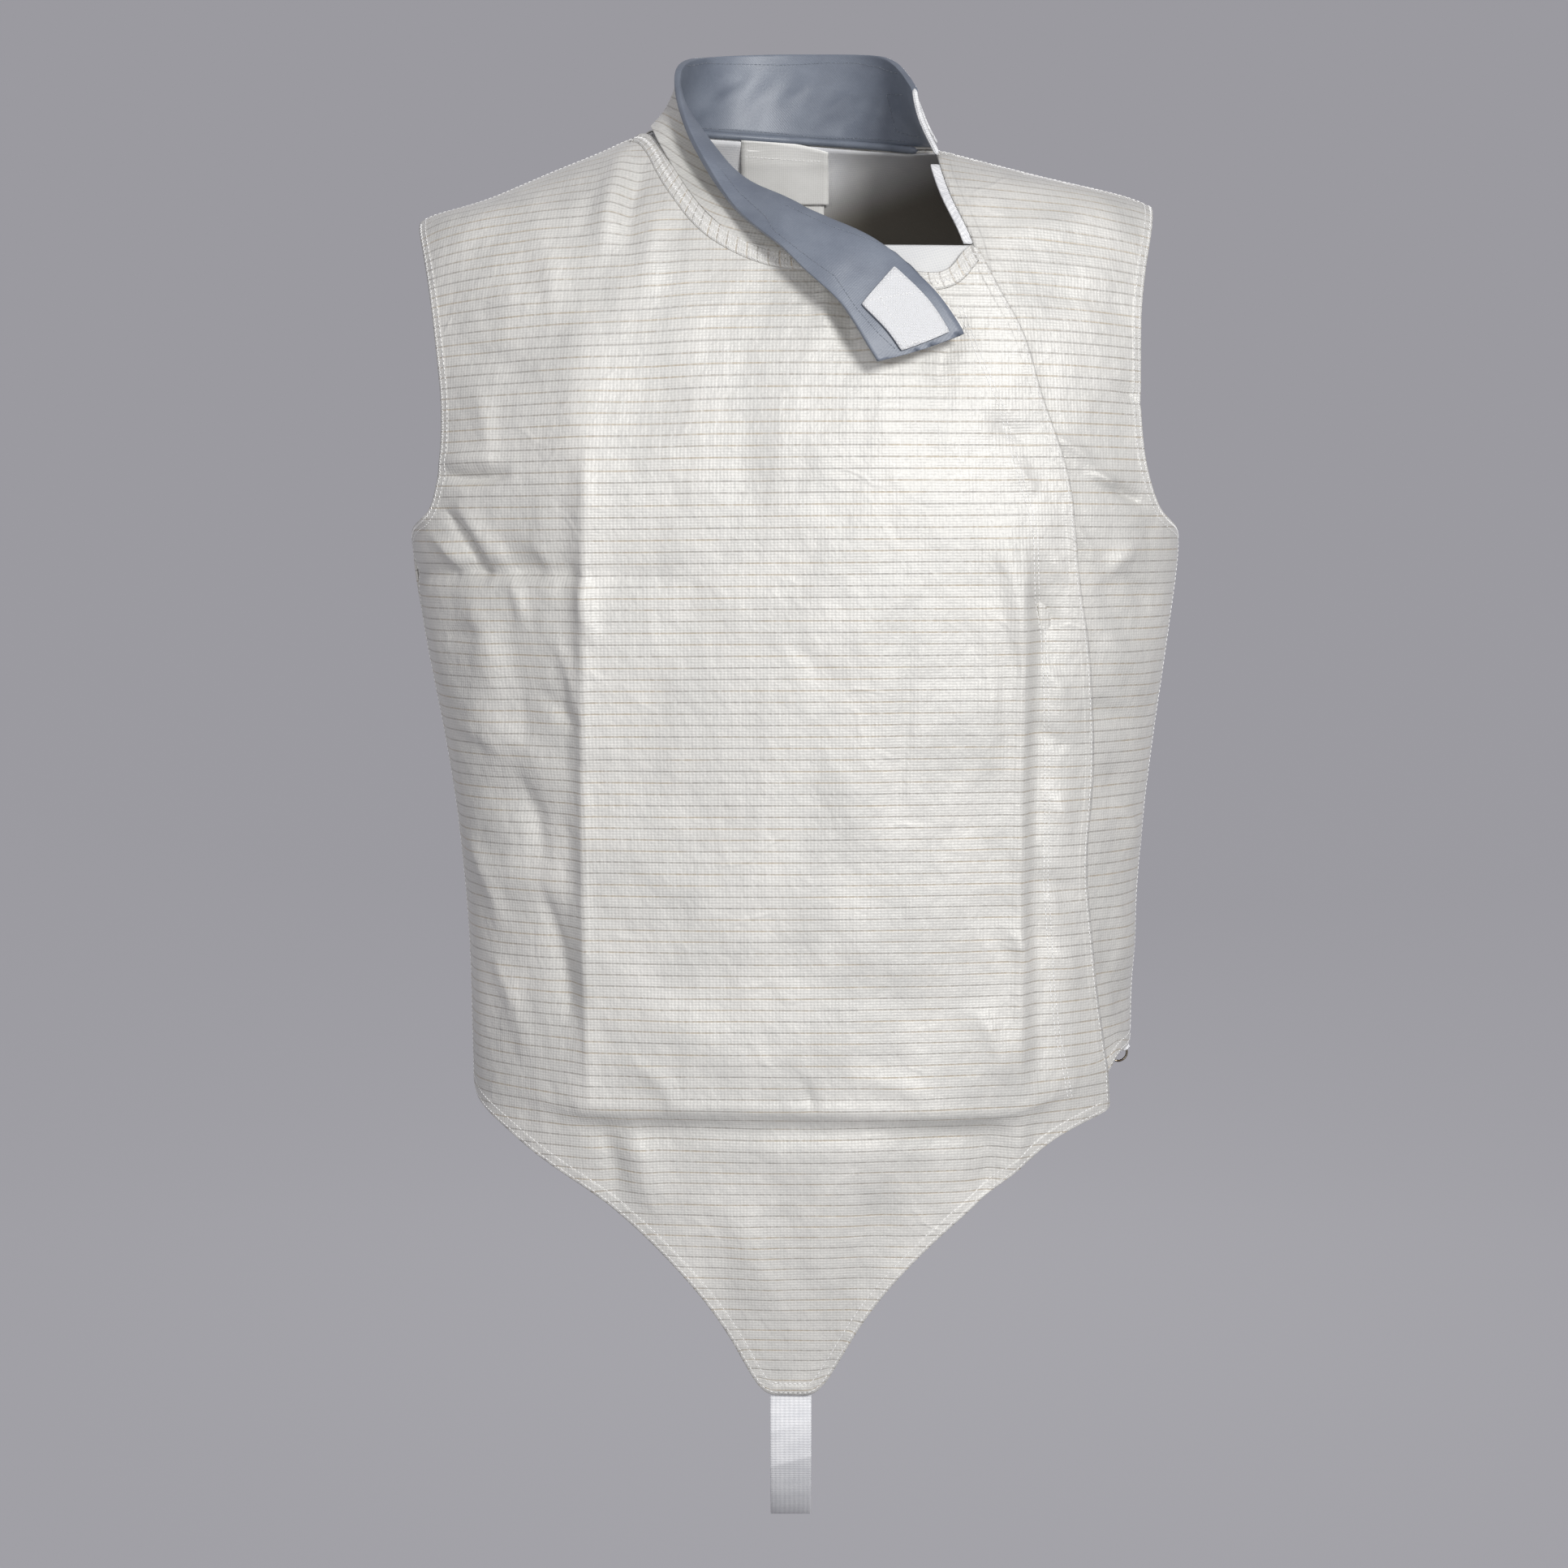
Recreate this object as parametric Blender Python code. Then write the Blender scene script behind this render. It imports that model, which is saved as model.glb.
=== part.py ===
"""A sleeveless foil lame: an electrically conductive fencing vest that closes on the wearer's left.

The vest is filled out as if worn, with nobody in it, and keeps that hollow form. Units are metres and
+Z is up. The front faces -Y, +X is on the viewer's right, and the origin is at the base of the neck,
on the middle line, half way between the chest and the back. The tables are in millimetres.
"""

from math import cos, pi, radians, sin

import bmesh
import bpy
import numpy as np
from mathutils import Vector

MM = 0.001


def table(columns, *rows):
    """The values of each named column of a table."""
    return dict(zip(columns.split(), zip(*rows)))


# Cloth, tape and gaps
CLOTH = 1.4  # lame with its lining
LINING = 1.0
COLLAR_CLOTH = 1.2
LABEL = 0.6
LABEL_GAP = 1.2
LINING_INSET = 0.5  # the lining hangs this far inside the back
BINDING = 5.5
EDGE_GAP = 0.5  # between the left front's neck edge and what is sewn along it
PATCH = 1.4
GAP = 0.3  # between two pieces that are sewn together
OVERLAP_LIFT = CLOTH + 1.4  # the front panel lies on the left front at the closure

# Sections of the garment, from the neck down: half widths to the wearer's right (viewer's left) and
# left, and depths of the front and the back from the shoulder line
SECTIONS = table(
    "height right_half left_half front_depth back_depth",
    (15.0, 61, 20, 22, 50),
    (5.5, 85.7, 38, 30, 60),
    (-6.7, 111, 85.7, 40, 72),
    (-23.8, 153.5, 153, 54, 83),
    (-37.5, 185.5, 209, 65, 90),
    (-50.7, 226.5, 231, 74, 94),
    (-80, 232, 236, 90, 101),
    (-120, 233, 237, 103, 107),
    (-180, 233.5, 237.5, 113, 112),
    (-237, 233, 236.5, 118, 112),
    (-300, 224.3, 229.5, 119, 105),
    (-360, 212.5, 221.3, 117, 97),
    (-430, 202.3, 213.7, 114, 92),
    (-500, 197.3, 209.6, 111, 95),
    (-560, 196.3, 208.3, 108, 101),
    (-620, 195.5, 206, 102, 104),
    (-690, 194, 204, 90, 104),
    (-770, 193, 203, 71, 104),
)
SQUARENESS = 2.2

# Front panel, seen from the front: its edges as across and height
FRONT_ARMHOLE = table(
    "height across",
    (-50.7, -226), (-81, -219), (-128, -212), (-168, -208), (-195, -208.3),
    (-210, -210.2), (-220, -213.5), (-226, -217), (-232, -224), (-237, -233),
)
NECK_RIGHT = (-85.7, 4.6)
FRONT_NECKLINE = table(
    "across height",
    (-85.7, 4.6), (-82, -4), (-75.6, -16), (-59.7, -42), (-45.2, -57.6),
    (-27.5, -70.5), (-9.9, -75.5), (11, -77), (45, -81), (78, -88),
    (90, -88), (99, -75), (107, -69),
)
CLOSURE = table(
    "height across",
    (-69, 107), (-97, 121.2), (-120, 134), (-156, 144.5), (-200, 159),
    (-232, 163.6), (-264, 165.5), (-284, 170.5), (-352, 176), (-379, 176.7),
    (-409, 174), (-431, 171.5), (-471, 176), (-504, 179), (-538, 184),
    (-557, 187.5), (-587.5, 190),
)
FRONT_HEM = table(
    "across height",
    (-196.5, -577.5), (-189.5, -586.5), (-179.5, -592.2), (-166.5, -602), (-142.5, -619),
    (-113.5, -636.6), (-92.3, -655.7), (-65, -685.4), (-48.6, -705.8), (-35.5, -726.6),
    (-25.3, -747.8), (-19.5, -760), (17.4, -760), (21.3, -747.7), (32, -726.5),
    (46, -705.7), (62, -685.2), (91.5, -655.4), (114, -636.2), (135.5, -617.5),
    (157, -599.4), (169.5, -593.3), (182, -590.3), (190, -587.5),
)
# The press crease across the belly, where the tongue starts to tilt back
STEP_LINE = table(
    "across height",
    (-197, -552), (-160, -570), (-134, -580), (0, -585), (123, -583),
    (150, -574), (189, -560),
)

# Left front panel, which runs on under the front panel
UNDERLAP = table(
    "height across",
    (-585, 158), (-538, 158), (-471, 150), (-379, 150), (-284, 144),
    (-200, 133), (-156, 122), (-120, 115), (-97, 111), (-70, 107.6),
    (-42, 94.5), (-20, 88), (-6.7, 85.9),
)
LEFT_ARMHOLE = table(
    "height across",
    (-38, 218), (-60, 214), (-79, 210), (-114, 206.4), (-162, 206.2),
    (-185, 207.8), (-200, 210.6), (-210, 213.6), (-220, 217.5), (-226, 222),
    (-231, 228.5), (-237, 236.5),
)
LEFT_HEM = table(
    "across height",
    (158, -580), (170, -578), (181, -573.5), (191.4, -566.8), (200.6, -557.6),
    (206, -553), (208.5, -549.5),
)
NECK_LEFT = (85.7, -6.7)
NECK_MIDDLE = 62.0  # half the stretch of the back's neckline that runs nearly level

# Back panel
BACK_ARMHOLE_RIGHT = table(
    "height across",
    (-50.7, -226), (-85, -221), (-130, -216), (-170, -213), (-205, -214.5),
    (-226, -222), (-237, -233),
)
BACK_ARMHOLE_LEFT = table(
    "height across",
    (-38, 218), (-75, 218), (-120, 215), (-165, 213), (-205, 216),
    (-226, 226), (-237, 236.5),
)
BACK_NECKLINE = table(
    "across height",
    (-85.7, 5.3), (-80, 6.2), (-54, 6.0), (0, 3.6), (52, -2.0),
    (80, -6.0), (85.7, -6.9),
)
BACK_HEM = table(
    "across height",
    (-196.5, -577.5), (-120, -579), (0, -580), (120, -572), (208.5, -549.5),
)
SEAM_BULGE = {"right": 5.0, "left": 3.0}  # the back panel swells just behind the side seams

# Pressed and worn folds of the front: from one end to the other, across and height
FOLDS = table(
    "from_across from_height to_across to_height reach rise",
    (-120, -575, -120, -191, 38, 8.5),
    (-120, -191, -126, -60, 24, 2.2),
    (136, -560, 136, -250, 24, 6.0),
    (-230, -262, -121, -262, 10, -2.2),
    (-60, -262, -121, -262, 9, -1.0),
    (-225, -205, -165, -201, 9, 2.2),
    (-228, -228, -188, -262, 9, 2.0),
    (205, -150, 168, -205, 12, 1.8),
    (100, -330, 92, -470, 16, 0.8),
    (180, -262, 205, -225, 12, 1.6),
)
# The same press creases on the back, and folds at its waist
BACK_FOLDS = table(
    "from_across from_height to_across to_height reach rise",
    (-122, -560, -122, -200, 26, 5.2),
    (126, -540, 126, -210, 26, 4.8),
    (-70, -306, 60, -316, 13, 1.6),
    (-198, -322, -135, -350, 10, 2.0),
    (150, -340, 206, -305, 10, 1.8),
    (-40, -470, 80, -462, 15, 1.2),
)
STEP_DROP = 5.5  # how far the cloth falls back below the press crease
STEP_REACH = 14.0
PRESS_LINE = (-120.0, 136.0)  # the two upright press creases, across
BACK_PRESS_LINE = (-122.0, 126.0)
TONGUE_END = (-19.5, 17.4)
TONGUE_HEIGHT = -760.0
ARMPIT = -237.0

# Collar stations, from its end by the wearer's left shoulder round the back of the neck and down the
# front to its loose end: where the base is sewn, as a height on the left front's neck edge or a place
# across on the back or the front, then the line that the collar folds on, its free edge, and the share
# of its height where the fold lies. Past the neckline the tab's base is free.
COLLAR = table(
    "seat at fold_x fold_y fold_z edge_x edge_y edge_z share",
    ("edge", -16, 77, -22, 9, 73, -14, 29.5, 0.5),
    ("back", 85.5, 74, 7, 17, 66.5, 13, 43.5, 0.5),
    ("back", 74, 65, 32, 24, 57, 37, 54.5, 0.5),
    ("back", 48, 44, 51, 28, 40, 55, 58.2, 0.5),
    ("back", 15, 16, 62, 31, 17, 66, 59.5, 0.5),
    ("back", -20, -14, 63, 32.5, -8, 67, 59.7, 0.5),
    ("back", -53, -42.5, 56, 32.5, -32, 62, 58.5, 0.5),
    ("back", -77, -64.5, 38, 29, -52, 50, 56, 0.5),
    ("back", -85.6, -74.5, 12, 24, -65, 20, 50, 0.5),
    ("front", -83.6, -72, -8, 18, -69.5, -8, 37, 0.5),
    ("front", -75.5, -58, -26, 6, -65, -44, 8, 0.6),
    ("front", -59.7, -40, -48, -18, -51.6, -68, -20, 0.62),
    ("front", -42, -25, -64, -31, -36, -82, -45, 0.6),
    ("front", -20, -9, -80, -39, -21.7, -100, -59.5, 0.55),
    ("front", 2, 6, -90, -47, -7, -112, -71, 0.5),
    ("front", 20, 22, -99, -55, 5.8, -119, -84.5, 0.42),
    ("front", 38, 40, -104, -63, 20, -123, -97, 0.38),
    ("free", 58, 57, -110, -77, 31, -126, -109, 0.35),
    ("free", 84, 66, -122, -109, 42, -129, -127.5, 0.5),
    ("free", 101, 75, -123, -131, 48.6, -129, -138, 0.5),
)
COLLAR_TAB = table("x y z", (58, -105, -76), (84, -114, -96), (101, -116, -121))
COLLAR_COLUMNS_PER_STATION = 2
BASE_RISE = (0.95, 2.2)  # over a cloth that stands up, and over one that lies flat
ROWS_TO_FOLD = (0, 0.5, 0.82, 1)  # places of the rows of points up the collar
ROWS_FROM_FOLD = (0.15, 0.5, 1)
SEAM_START = 0.4
FOLD_ROUNDNESS = 3.0
LINING_START = 2.0
COLLAR_HEM = 5.5  # the lining is turned over the free edge onto the outside

# Tape, label and ring
STRAP_WIDTH = 25.0
STRAP_THICK = 1.5
STRAP_ROUTE = table(
    "depth height",
    (-69.6, -736), (-66.2, -765), (-59.8, -794), (-42.5, -827), (-14, -850),
    (16, -853), (44, -838), (64, -806), (78, -760), (88.8, -700),
    (95.6, -640), (98.8, -590), (99.3, -556),
)
LABEL_SPAN = (-32.6, 23.2)
RING_RADIUS = 7.6  # to the middle of the wire
WIRE_RADIUS = 1.0
RING_CENTRE = (200.3, -9.0, -560.4)
RING_HELD_AT = radians(42)  # the place on the ring where the loop holds it, from +X towards +Z
LOOP_WIDTH = 4.0
LOOP_INNER = 1.7
LOOP_THICK = 0.9
LOOP_APART = 1.3  # the tape's two ends, middle to middle
LOOP_BEND = (204.6, -9.0, -552.0)
LOOP_TOP = (204.7, -9.0, -541.0)

COLOURS = {
    "silver_lame": ("D6D5D0", 0.45, 0.35),
    "grey_satin": ("8A93A2", 0.5, 0.0),
    "white_cloth": ("E8E8E6", 0.8, 0.0),
    "white_tape": ("F0F0EE", 0.85, 0.0),
    "steel": ("B9B6AE", 0.25, 1.0),
}


def clear_scene():
    for old in list(bpy.data.objects):
        bpy.data.objects.remove(old, do_unlink=True)


def material(name):
    """The named material, made when it is first asked for."""
    found = bpy.data.materials.get(name)
    if found:
        return found
    colour, roughness, metallic = COLOURS[name]
    made = bpy.data.materials.new(name)
    made.use_nodes = True
    shader = made.node_tree.nodes["Principled BSDF"]
    shade = [(int(colour[i : i + 2], 16) / 255) ** 2.2 for i in (0, 2, 4)]
    shader.inputs["Base Color"].default_value = (*shade, 1)
    shader.inputs["Roughness"].default_value = roughness
    shader.inputs["Metallic"].default_value = metallic
    made.diffuse_color = (*shade, 1)
    return made


def add_object(name, points, faces, finish, origin=(0, 0, 0)):
    """A mesh object from points in millimetres, with its origin where it is asked for."""
    mesh = bpy.data.meshes.new(name)
    origin = np.array(origin, float)
    mesh.from_pydata(((np.asarray(points, float) - origin) * MM).tolist(), [], faces)
    mesh.materials.append(material(finish))
    shaped = bmesh.new()
    shaped.from_mesh(mesh)
    bmesh.ops.recalc_face_normals(shaped, faces=shaped.faces)
    shaped.to_mesh(mesh)
    shaped.free()
    mesh.shade_smooth()
    mesh.set_sharp_from_angle(angle=radians(40))
    made = bpy.data.objects.new(name, mesh)
    made.location = Vector(origin * MM)
    bpy.context.collection.objects.link(made)
    return made


def curve(table, key, value):
    """A smooth curve through a table's rows that never swings past them (monotone cubic)."""
    xs, ys = np.array(table[key], float), np.array(table[value], float)
    if xs[0] > xs[-1]:
        xs, ys = xs[::-1], ys[::-1]
    step, slope = np.diff(xs), np.diff(ys) / np.diff(xs)
    tangent = np.zeros(len(xs))
    for i in range(1, len(xs) - 1):
        if slope[i - 1] * slope[i] > 0:
            before, after = 2 * step[i] + step[i - 1], step[i] + 2 * step[i - 1]
            tangent[i] = (before + after) / (before / slope[i - 1] + after / slope[i])
    tangent[0], tangent[-1] = slope[0], slope[-1]

    def at(x):
        x = np.clip(np.asarray(x, float), xs[0], xs[-1])
        i = np.clip(np.searchsorted(xs, x) - 1, 0, len(xs) - 2)
        t = (x - xs[i]) / step[i]
        rise = ys[i] * (1 + 2 * t) * (1 - t) ** 2 + ys[i + 1] * t * t * (3 - 2 * t)
        return rise + step[i] * t * (1 - t) * (tangent[i] * (1 - t) - tangent[i + 1] * t)

    return at


right_half = curve(SECTIONS, "height", "right_half")
left_half = curve(SECTIONS, "height", "left_half")
front_depth = curve(SECTIONS, "height", "front_depth")
back_depth = curve(SECTIONS, "height", "back_depth")


def ridge_height(across):
    """The height of the shoulder ridge over a distance across."""
    heights = np.array(SECTIONS["height"][:6])
    halves = np.array(SECTIONS["right_half" if across < 0 else "left_half"][:6])
    fine = np.linspace(heights[-1], heights[0], 200)
    reach = (right_half if across < 0 else left_half)(fine)
    return float(np.interp(-abs(across), -reach, fine)) if abs(across) < halves[-1] else heights[-1]


def body(across, height, side):
    """Points on the general figure, at -1 on its front and 1 on its back."""
    across, height = np.asarray(across, float), np.asarray(height, float)
    half = np.where(across < 0, right_half(height), left_half(height))
    share = np.clip(np.abs(across) / half, 0, 1)
    depth = front_depth(height) if side < 0 else back_depth(height)
    out = np.maximum(depth * (1 - share**SQUARENESS) ** (1 / SQUARENESS), GAP / 2)
    return np.stack([across + 0 * out, side * out, height + 0 * out], -1)


def outward(points):
    """Unit normals of the general figure at points on it."""
    across, deep, height = (np.asarray(points, float)[..., i] for i in range(3))

    def half_at(z):
        return np.where(across < 0, right_half(z), left_half(z))

    def depth_at(z):
        return np.where(deep < 0, front_depth(z), back_depth(z))

    half, depth, step = half_at(height), depth_at(height), 2.0
    half_slope = (half_at(height + step) - half_at(height - step)) / (2 * step)
    depth_slope = (depth_at(height + step) - depth_at(height - step)) / (2 * step)
    wide = np.clip(np.abs(across) / half, 0, 1)
    thick = (1 - wide**SQUARENESS) ** (1 / SQUARENESS)
    power = SQUARENESS - 1
    normal = np.stack(
        [
            np.sign(across) * wide**power / half,
            np.sign(deep) * thick**power / depth,
            -(wide**SQUARENESS) * half_slope / half - thick**SQUARENESS * depth_slope / depth,
        ],
        -1,
    )
    return normal / np.linalg.norm(normal, axis=-1, keepdims=True)


def panel_grid(side, guides, columns, lines, rows, crowding):
    """Across and height of a panel's points, on the front (-1) or the back (1).

    Guides are curves across(height), with a number of columns from each to the next. Lines are curves
    height(across) from the bottom edge to the top edge, with a number of rows from each to the next. In
    the last stretch, where the cloth turns over the shoulder, the rows are even along the cloth.
    """
    places = [(i, k / n) for i, n in enumerate(columns) for k in range(n)] + [(len(columns) - 1, 1.0)]
    across = np.zeros((sum(rows) + 1, len(places)))
    height = np.zeros_like(across)
    for column, (i, share) in enumerate(places):
        share = 1 - (1 - share) ** crowding[i] if crowding[i] > 0 else share ** -crowding[i]

        def at(z, i=i, share=share):
            return (1 - share) * guides[i](z) + share * guides[i + 1](z)

        ends = []
        for line in lines:
            z = float(line(at(-300.0)))
            for _ in range(80):
                z = 0.5 * z + 0.5 * float(line(at(z)))
            ends.append(z)
        levels = [ends[0]]
        for low, high, count in zip(ends, ends[1:], rows):
            levels.extend(low + (high - low) * np.arange(1, count + 1) / count)
        fine = ends[-2] + (ends[-1] - ends[-2]) * (1 - np.cos(pi * np.linspace(0, 1, 400))) / 2
        run = np.linalg.norm(np.diff(body(at(fine), fine, side), axis=0), axis=-1)
        run = np.concatenate([[0], np.cumsum(run)])
        levels[-rows[-1] :] = np.interp(run[-1] * np.arange(1, rows[-1] + 1) / rows[-1], run, fine)
        height[:, column] = levels
        across[:, column] = at(height[:, column])
    return across, height


def shorter_split(grid):
    """Whether each quad of a grid splits best from its first corner, which leaves the flatter fold."""
    one = np.linalg.norm(grid[1:, 1:] - grid[:-1, :-1], axis=-1)
    other = np.linalg.norm(grid[1:, :-1] - grid[:-1, 1:], axis=-1)
    return one <= other


def wall(name, inner, outer, finish, split=None):
    """A closed wall between two grids of the same size, whose faces split the same way."""
    rows, columns = inner.shape[:2]
    split = shorter_split(inner) if split is None else split
    count = rows * columns
    points = np.concatenate([inner.reshape(-1, 3), outer.reshape(-1, 3)])
    faces = []
    for r in range(rows - 1):
        for c in range(columns - 1):
            a = r * columns + c
            b, far, d = a + 1, a + columns + 1, a + columns
            for half in ((a, b, far), (a, far, d)) if split[r, c] else ((a, b, d), (b, far, d)):
                faces.append(half[::-1])
                faces.append(tuple(count + i for i in half))
    rim = [c for c in range(columns)]
    rim += [r * columns + columns - 1 for r in range(1, rows)]
    rim += [(rows - 1) * columns + c for c in range(columns - 2, -1, -1)]
    rim += [r * columns for r in range(rows - 2, 0, -1)]
    for a, b in zip(rim, rim[1:] + rim[:1]):
        faces.append((a, b, count + b, count + a))
    return add_object(name, points, faces, finish)


def fold_rise(folds, across, height):
    """How far a table's folds push the cloth out or in."""
    rise = np.zeros_like(across)
    for x1, z1, x2, z2, reach, tall in zip(*(folds[key] for key in folds)):
        run = np.array([x2 - x1, z2 - z1])
        length = max(float(np.hypot(*run)), 1.0)
        run = run / length
        along = (across - x1) * run[0] + (height - z1) * run[1]
        aside = np.abs(-(across - x1) * run[1] + (height - z1) * run[0])
        past = np.maximum(np.maximum(-along, along - length), 0)
        rise += tall * np.exp(-aside / reach) * np.exp(-((past / (1.5 * reach)) ** 2))
    return rise


def step_drop(across, height):
    """How far the front's cloth falls back below the press crease across the belly."""
    share = np.clip((step_line(across) - height) / STEP_REACH, 0, 1)
    middle = 1 / (1 + np.exp((np.abs(across) - 150) / 12))
    return STEP_DROP * share * (2 - share) * middle


step_line = curve(STEP_LINE, "across", "height")


def upright(across):
    """A guide that stands straight up."""
    return lambda z: across + 0 * np.asarray(z, float)


def level(height):
    """A line at one height."""
    return lambda x: height


armpit_line = level(ARMPIT)


def above_armpit(across):
    """A line close over the armpits' tight curve, and well above it in the middle of the panel."""
    share = np.clip((185 - np.abs(across)) / 70, 0, 1)
    return ARMPIT + 16 + 22 * share * share * (3 - 2 * share)


def overlap_lift(across):
    """The front panel rises to lie on the left front near the closure."""
    share = np.clip((across + 60) / 120, 0, 1)
    return OVERLAP_LIFT * share * share * (3 - 2 * share)


def front_surface(across, height):
    """The front panel's inner face and the direction out of it."""
    base = body(across, height, -1)
    normal = outward(base)
    out = overlap_lift(across) + fold_rise(FOLDS, across, height) - step_drop(across, height)
    return base + normal * out[..., None], normal


def front_panel():
    armhole = curve(FRONT_ARMHOLE, "height", "across")
    closure = curve(CLOSURE, "height", "across")
    hem = curve(FRONT_HEM, "across", "height")
    neckline = curve(FRONT_NECKLINE, "across", "height")

    def edge(z):
        seam = -right_half(z)
        return np.where(np.asarray(z) > ARMPIT, armhole(z), seam)

    def tongue(side, spread):
        return lambda z: side + spread * np.clip((np.asarray(z) - TONGUE_HEIGHT) / 680, 0, 1)

    def press_right(z):
        return np.minimum(PRESS_LINE[1], closure(z) - 30)

    def top(x):
        return ridge_height(x) if x < NECK_RIGHT[0] else neckline(x)

    def neck_line(z):
        return NECK_RIGHT[0] + 12 * np.clip(-np.asarray(z) / 600, 0, 1)

    guides = [edge, upright(PRESS_LINE[0]), neck_line]
    guides += [tongue(TONGUE_END[0], -22), tongue(TONGUE_END[1], 20), press_right, closure]
    lines = [hem, step_line, armpit_line, above_armpit, top]
    columns, crowding = (7, 2, 4, 3, 6, 3), (-1.5, 1, 1, 1, 1, 1)
    across, height = panel_grid(-1, guides, columns, lines, (6, 11, 3, 14), crowding)
    face, normal = front_surface(across, height)
    wall("front_panel", face, face + normal * CLOTH, "silver_lame")


def left_front_panel():
    """The left front. Returns its edge under the closure, as across and height, for what lies along it."""
    armhole = curve(LEFT_ARMHOLE, "height", "across")
    underlap = curve(UNDERLAP, "height", "across")
    hem = curve(LEFT_HEM, "across", "height")

    def edge(z):
        return np.where(np.asarray(z) > ARMPIT, armhole(z), left_half(z))

    lines = [hem, lambda x: hem(x) + 25, armpit_line, above_armpit, ridge_height]
    across, height = panel_grid(-1, [underlap, edge], (9,), lines, (1, 12, 3, 13), (1.6,))
    base = body(across, height, -1)
    wall("left_front_panel", base, base + outward(base) * CLOTH, "silver_lame")
    return across[:, 0], height[:, 0]


def beside(edge, distance):
    """A guide that runs at a distance inside a panel's edge."""
    return lambda z: np.interp(z, edge[1], edge[0]) - distance


def edge_heights(edge, low, high):
    """Lines from one height to another through a panel's own rows, so that what lies beside it fits."""
    return [level(low)] + [level(z) for z in edge[1] if low + 1 < z < high - 1] + [level(high)]


def fly_facing(edge):
    """The white facing of the underlap, built where it shows above the front panel's corner."""
    lines = edge_heights(edge, -128, -69)
    guides = [upright(52), beside(edge, EDGE_GAP)]
    across, height = panel_grid(-1, guides, (5,), lines, (1,) * (len(lines) - 1), (1,))
    base = body(across, height, -1)
    wall("fly_facing", base, base + outward(base) * LINING, "white_cloth")


def neck_binding(edge):
    """The white band that stands out past the left front's neck edge."""
    lines = edge_heights(edge, -68, -19)
    guides = [beside(edge, EDGE_GAP + BINDING), beside(edge, EDGE_GAP)]
    across, height = panel_grid(-1, guides, (1,), lines, (1,) * (len(lines) - 1), (1,))
    base = body(across, height, -1)
    wall("neck_binding", base, base + outward(base) * CLOTH, "white_tape")


def back_panel():
    right, left = (curve(t, "height", "across") for t in (BACK_ARMHOLE_RIGHT, BACK_ARMHOLE_LEFT))
    hem = curve(BACK_HEM, "across", "height")
    neckline = curve(BACK_NECKLINE, "across", "height")

    def right_edge(z):
        return np.where(np.asarray(z) > ARMPIT, right(z), -right_half(z))

    def left_edge(z):
        return np.where(np.asarray(z) > ARMPIT, left(z), left_half(z))

    def top(x):
        return neckline(x) if NECK_RIGHT[0] < x < NECK_LEFT[0] else ridge_height(x)

    guides = [right_edge, upright(BACK_PRESS_LINE[0]), upright(NECK_RIGHT[0]), upright(-NECK_MIDDLE)]
    guides += [upright(NECK_MIDDLE), upright(NECK_LEFT[0]), upright(BACK_PRESS_LINE[1]), left_edge]
    lines = [hem, lambda x: hem(x) + 25, armpit_line, above_armpit, top]
    rows, columns = (1, 12, 3, 13), (5, 1, 2, 6, 2, 2, 5)
    across, height = panel_grid(1, guides, columns, lines, rows, (-1.5, 1, 1, 1, 1, 1, 1.5))
    base = body(across, height, 1)
    normal = outward(base)
    # Round the side seams the back swells out a little
    half = np.where(across < 0, right_half(height), left_half(height))
    swell = np.where(across < 0, SEAM_BULGE["right"], SEAM_BULGE["left"])
    near_side = np.clip((ARMPIT - 20 - height) / 80, 0, 1) * (np.abs(across) > 0.6 * half)
    rise = swell * near_side * np.sin(pi * np.clip(base[..., 1] / 75, 0, 1)) ** 2
    rise = (rise + fold_rise(BACK_FOLDS, across, height))[..., None]
    split = shorter_split(base)
    wall("back_panel", base + normal * rise, base + normal * (rise + CLOTH), "silver_lame", split)
    # The white lining shows through the neck and the armholes, so it is built from the armpits up
    armpit_row = sum(rows[:2])
    base, normal, split = base[armpit_row:], normal[armpit_row:], split[armpit_row:]
    inner = base - normal * (LINING_INSET + LINING)
    wall("back_lining", inner, base - normal * LINING_INSET, "white_cloth", split)


def neck_labels():
    """Two blank labels that hang from the neck seam, the short one over the long one."""
    neckline = curve(BACK_NECKLINE, "across", "height")
    first = LINING_INSET + LINING + LABEL_GAP
    for name, low, inset, (left, right) in (
        ("size_label", -62.0, first, (LABEL_SPAN[0] + 3, LABEL_SPAN[1] - 3)),
        ("neck_label", -30.0, first + LABEL + LABEL_GAP, LABEL_SPAN),
    ):
        lines = [level(low), level(low + 5), lambda x: float(neckline(x)) - 3.0]
        across, height = panel_grid(1, [upright(left), upright(right)], (4,), lines, (1, 6), (1,))
        base = body(across, height, 1)
        normal = outward(base)
        wall(name, base - normal * (inset + LABEL), base - normal * inset, "white_cloth")


def smooth_line(values):
    """A curve through evenly spaced values, with the slope at each taken from its neighbours."""
    values = np.array(values, float)
    slopes = np.gradient(values)

    def at(s):
        s = np.clip(np.asarray(s, float), 0, len(values) - 1)
        i = np.clip(s.astype(int), 0, len(values) - 2)
        t = s - i
        start, end = values[i], values[i + 1]
        return (
            start * (1 + 2 * t) * (1 - t) ** 2
            + end * t * t * (3 - 2 * t)
            + slopes[i] * t * (1 - t) ** 2
            - slopes[i + 1] * t * t * (1 - t)
        )

    return at


def seat_on_seam(face, normal):
    """The middle of the collar's base over a place on a panel's inner face at the neck seam."""
    climb = BASE_RISE[0] + (BASE_RISE[1] - BASE_RISE[0]) * np.clip(normal[..., 2], 0, 1)
    return face + normal * CLOTH / 2 + climb[..., None] * np.array([0, 0, 1.0])


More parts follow.
